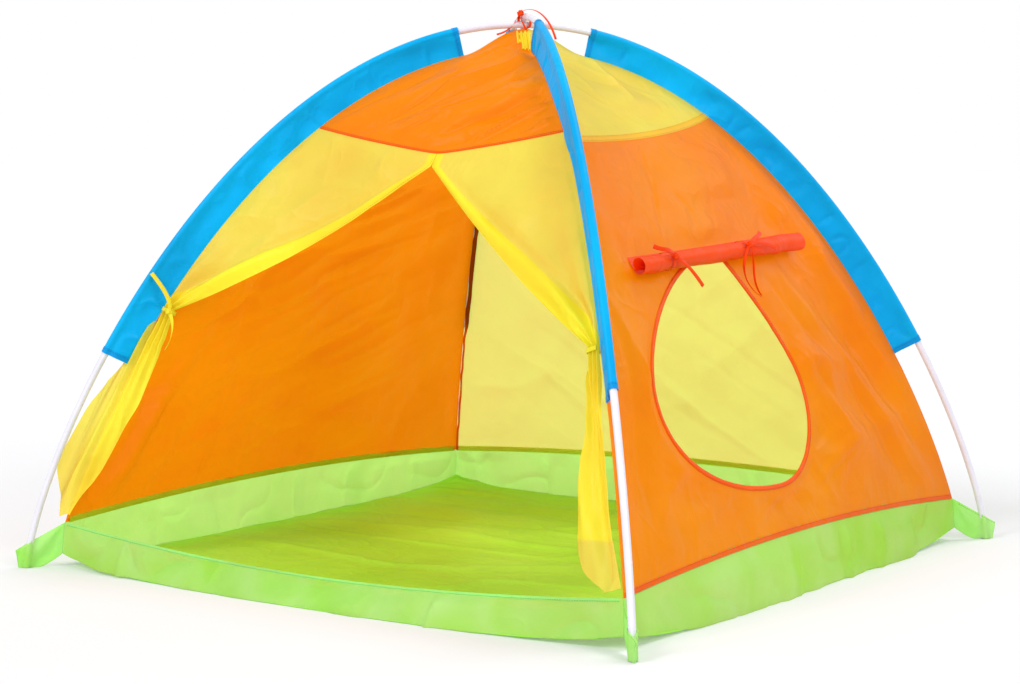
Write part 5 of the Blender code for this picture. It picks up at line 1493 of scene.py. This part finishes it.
cells = np.stack([columns[None] / 0.03 + 0 * out, turn[:, None] * 3 + 0 * out, 0 * out], -1)
relief = ROLL_RELIEF * noise(cells, 502)
out = out + relief * np.cos(angle)[:, None]
up = up + relief * np.sin(angle)[:, None]
seam_rows = np.linspace(0, 1, SEAM_ROWS + 1)[:-1, None]
first_out = seam_rows * out[:1]
first_up = seam_rows * up[:1] - 0.0015 * np.sin(np.pi * seam_rows)
out, up = np.concatenate([first_out, out]), np.concatenate([first_up, up])
slipped = np.r_[np.zeros(SEAM_ROWS), turn][:, None]
left_end = np.exp(-(columns + ROLL_LEFT) / END_SLIP)[None]
right_end = np.exp(-(ROLL_RIGHT - columns) / END_SLIP)[None]
slip = -LEFT_SLIP * np.sin(2.9 * slipped) * left_end + RIGHT_SLIP * np.sin(3.4 * slipped) * right_end
grid = roll_world(columns[None] + slip, out, up)
bend = roll_seam(columns)
near_seam = 1 - np.clip(np.arange(len(out)) / SEAM_ROWS, 0, 1)
lean = ((bend - roll_seam(ROLL_RIGHT)) @ roll_out)[None] * near_seam[:, None]
grid = grid + turned(roll_out, SIDES["right"]) * lean[..., None]
roll = make_sheet("window_flap_roll", grid, RED, "roll", replaces=["window_roll"], slot="red_tape")

# %% [markdown]
# The window ties are tapes of the same red. Each goes round the roll to a knot on its outer side.
# Their ends fall differently, as in the photograph: up and down at the left, to the right
# and in a long hanging loop at the right. That loop is two narrow tapes that meet at the bottom.

# %% Window ties
LOOP_WIDTH, TIE_SQUEEZE = 0.0050, {"left": 0.84, "right": 0.81}
roll_extras = []
roll_side, roll_rise = turned(roll_along, SIDES["right"]), turned(roll_up, SIDES["right"])


def roll_curl(start, *others, count=26):
    """A loose end in the roll's own measures: along, outwards, up."""
    path = curl(np.array(start), *others, count=count)
    return roll_world(path[:, 0], path[:, 1], path[:, 2])


for label, along in (("left", LEFT_TIE), ("right", RIGHT_TIE)):
    ring = ROLL_RADIUS + ROLL_CLOTH / 2 + SEAM_GAP + TAPE_THICK / 2
    tight = ring * TIE_SQUEEZE[label]
    angle = np.pi * (0.62 - 1.62 * np.linspace(0, 1, 40))
    squeeze = np.interp(np.linspace(0, 1, 40), (0, 0.12, 0.88, 1), (1, tight / ring, tight / ring, 1))
    out = np.r_[ROLL_CENTRE[0] + np.cos(angle) * ring * squeeze, TAPE_THICK / 2 + SEAM_GAP]
    up = np.r_[ROLL_CENTRE[1] + np.sin(angle) * ring * squeeze, -ROLL_SEAM_LENGTH]
    path = roll_world(np.full(len(out), along), out, up)
    loop = tape(f"{label}_window_tie_loop", path, roll_side, RED, "roll",
                replaces=[f"{label}_window_tie"], slot="red_tape")
    start = (along, ROLL_CENTRE[0] + tight + KNOT_RADIUS * 0.6, ROLL_CENTRE[1])
    lump = knot(f"{label}_window_tie_knot", roll_world(*start), roll_side, roll_rise, RED, "roll")
    if label == "left":
        ends = {"upper": ((-0.012, 0.004, 0.016), (-0.030, 0.004, 0.008), (-0.046, -0.002, 0.022)),
                "lower": ((0.010, 0.006, -0.014), (0.020, 0.006, -0.034), (0.034, 0.002, -0.056))}
    else:
        ends = {"upper": ((0.016, 0.006, 0.012), (0.040, 0.004, 0.010), (0.056, -0.002, 0.020)),
                "lower": ((0.020, 0.008, 0.004), (0.048, 0.006, -0.006), (0.074, 0.004, -0.016)),
                "hanging": ((-0.030, -0.008, -0.020), (-0.048, -0.022, -0.050), (0.006, -0.026, -0.082)),
                "returning": ((0.002, -0.002, -0.030), (-0.018, -0.018, -0.050), (0.007, -0.025, -0.080))}
    roll_extras += [loop, lump]
    for end, bends in ends.items():
        width = LOOP_WIDTH if end in ("hanging", "returning") else TAPE_WIDTH
        roll_extras.append(tape(f"{label}_window_tie_{end}", roll_curl(start, *bends),
                                roll_rise + roll_side * 0.4, RED, "roll",
                                width=width, twist=25 if end == "lower" else -40))
print("window ties:", len(roll_extras), "parts")

# %% [markdown]
# At the crown a red tape sewn to the cloth's peak goes round both poles and is knotted on top.
# Beside it a small tuck of yellow cloth is gathered into the same seam.

# %% Tie at the poles' crossing
SQUARENESS, LOOP_SIDES, END_WIDTH = 0.62, 8, 0.0065
TUCK_START, TUCK_WIDTH, TUCK_TOP, TUCK_DROP, TUCK_SPREAD = 0.002, 0.026, 0.888, 0.030, 0.030
TUCK_PROUD, TUCK_RUCK, TUCK_PLEATS = 0.0040, 0.0022, 3.5
wide = POLE_OUTER / 2 * ROOT2 + TAPE_WIDTH / 2 + SEAM_GAP + TAPE_THICK / 2
tall = POLE_OUTER + FIT_GAP / 2 + SEAM_GAP + TAPE_THICK / 2
angle = np.linspace(0, 2 * np.pi, 61)[:-1]
x = wide * np.sign(np.cos(angle)) * np.abs(np.cos(angle)) ** SQUARENESS
z = tall * np.sign(np.sin(angle)) * np.abs(np.sin(angle)) ** SQUARENESS
path = np.stack([x, 0 * x, POLE_RISE + z], -1)
along = unit(np.roll(path, -1, axis=0) - np.roll(path, 1, axis=0))
side = np.broadcast_to((0.0, 1.0, 0.0), path.shape)
rings = rim_strip(path, side, np.cross(along, side), TAPE_WIDTH, TAPE_THICK, LOOP_SIDES)
faces = grid_faces(len(rings) + 1, LOOP_SIDES, wrap=True) % (len(rings) * LOOP_SIDES)
peak_loop = make_piece("peak_tie_loop", rings, faces, RED, doubled=1.0, replaces=["peak_tie"],
                       slot="red_tape")
east, south = np.array((0.82, 0.57, 0.0)), np.array((0.57, -0.82, 0.0))
top_knot = np.array((0.0, 0.0, POLE_RISE)) - east * 0.007 + south * 0.006 + UP * (tall + 0.001)
peak_parts = [knot("peak_tie_knot", top_knot, east, UP, RED, scale=0.9)]
ends = {"long": (east * 0.014 + UP * 0.014, east * 0.046 + UP * 0.006, east * 0.060 - UP * 0.044),
        "inner": (-east * 0.004 - UP * 0.006 + south * 0.004, east * 0.006 - UP * 0.018 + south * 0.008,
                  east * 0.013 - UP * 0.036 + south * 0.010),
        "short": (-east * 0.010 - UP * 0.012, -east * 0.012 - UP * 0.030, -east * 0.040 - UP * 0.036)}
for end, bends in ends.items():
    peak_parts.append(tape(f"peak_tie_{end}_end", curl(top_knot, *bends), south, RED,
                           width=END_WIDTH, twist=35 if end == "long" else -30))
pleat, down = np.meshgrid(np.linspace(0, 1, 60), np.linspace(0, 1, 24), indexing="xy")
tuck_x = TUCK_START + TUCK_WIDTH * pleat + TUCK_SPREAD * down
tuck_z = TUCK_TOP - TUCK_DROP * down - 0.004 * down * np.abs(2 * pleat - 1)
place = place_at_height(tuck_z)
uneven = noise(np.stack([pleat * 4, down * 2, down * 0], -1), 611)
ruck = TUCK_PROUD + TUCK_RUCK * np.sin(2 * np.pi * TUCK_PLEATS * pleat + 0.6) + 0.0010 * uneven
grid = wall_point(np.clip(tuck_x / half_width(place), -1, 0.97), place, -ruck)
tuck = make_sheet("peak_tuck_cloth", grid, YELLOW, doubled=1.0)
for side in SIDES:
    extras = [*tops[side][1:], *([peak_loop, tuck, *peak_parts] if side == "front" else [])]
    declare_wall(tops[side][0], TOP_LINES[side], peak_line, extras)
print("peak tie ready")

# %% [markdown]
# The studio is a pale floor and a white surround. The floor and the surround look white to the
# camera and to glossy rays, while the lamps stay at a plain level, so the cloth keeps its own
# colours and the floor keeps the tent's soft shadow.

# %% Floor, surround and lamps
def ground_finish():
    """White to lamps. To the camera it is dimmer by itself and lifted to white, with its shadow."""
    f = Finish("ground_white")
    other = f.node("ShaderNodeBsdfDiffuse", None, {"Color": (0.80, 0.80, 0.80, 1)})
    matt = f.node("ShaderNodeBsdfDiffuse", None, {"Color": (0.70, 0.70, 0.71, 1)})
    lift = f.node("ShaderNodeEmission", None, {"Color": (1, 1, 1, 1), "Strength": 0.175})
    seen = f.node("ShaderNodeAddShader", None, {0: matt.outputs[0], 1: lift.outputs[0]})
    rays = f.node("ShaderNodeLightPath")
    camera_ray, glossy_ray = Field(f, rays.outputs["Is Camera Ray"]), Field(f, rays.outputs["Is Glossy Ray"])
    pick = camera_ray + glossy_ray
    both = f.node("ShaderNodeMixShader", None, {0: pick, 1: other.outputs[0], 2: seen.outputs[0]})
    return f.done(both.outputs[0])


GROUND_REACH = 40.0
corners_xy = np.array([(-1, -1, 0), (1, -1, 0), (1, 1, 0), (-1, 1, 0)]) * GROUND_REACH
ground_mesh = bpy.data.meshes.new("ground")
ground_mesh.from_pydata(corners_xy.tolist(), [], [[0, 1, 2, 3]])
ground_mesh.materials.append(ground_finish())
ground = bpy.data.objects.new("ground", ground_mesh)
bpy.context.scene.collection.objects.link(ground)

world = bpy.data.worlds.new("studio")
bpy.context.scene.world = world
world.use_nodes = True
nodes, links = world.node_tree.nodes, world.node_tree.links
nodes.clear()
rays = nodes.new("ShaderNodeLightPath")
white, fill = nodes.new("ShaderNodeBackground"), nodes.new("ShaderNodeBackground")
white.inputs["Color"].default_value = (1.0, 1.0, 1.0, 1.0)
fill.inputs["Color"].default_value = (0.97, 0.985, 1.0, 1.0)
fill.inputs["Strength"].default_value = 0.50
pick, out = nodes.new("ShaderNodeMixShader"), nodes.new("ShaderNodeOutputWorld")
seen, total = nodes.new("ShaderNodeMath"), nodes.new("ShaderNodeMath")
links.new(rays.outputs["Is Camera Ray"], seen.inputs[0])
links.new(rays.outputs["Is Glossy Ray"], seen.inputs[1])
links.new(seen.outputs[0], total.inputs[0])
links.new(rays.outputs["Is Transmission Ray"], total.inputs[1])
links.new(total.outputs[0], pick.inputs[0])
links.new(fill.outputs[0], pick.inputs[1])
links.new(white.outputs[0], pick.inputs[2])
links.new(pick.outputs[0], out.inputs["Surface"])


def soft_sun(name, strength, spread, tilt, turn):
    """A wide sun lamp. Its spread, tilt from straight down and turn are in degrees."""
    lamp = bpy.data.objects.new(name, bpy.data.lights.new(name, "SUN"))
    lamp.data.energy, lamp.data.angle = strength, math.radians(spread)
    lamp.rotation_euler = (math.radians(tilt), 0, math.radians(turn))
    bpy.context.scene.collection.objects.link(lamp)


SUNS = (("top", 0.95, 22, 24, 160), ("rim", 0.26, 20, 60, 158), ("key", 1.25, 20, 52, -16),
        ("side", 0.75, 20, 62, 72), ("door", 0.62, 40, 76, 24))
for sun in SUNS:
    soft_sun(*sun)
bpy.context.scene.view_settings.view_transform = "Standard"
print("lamps ready")
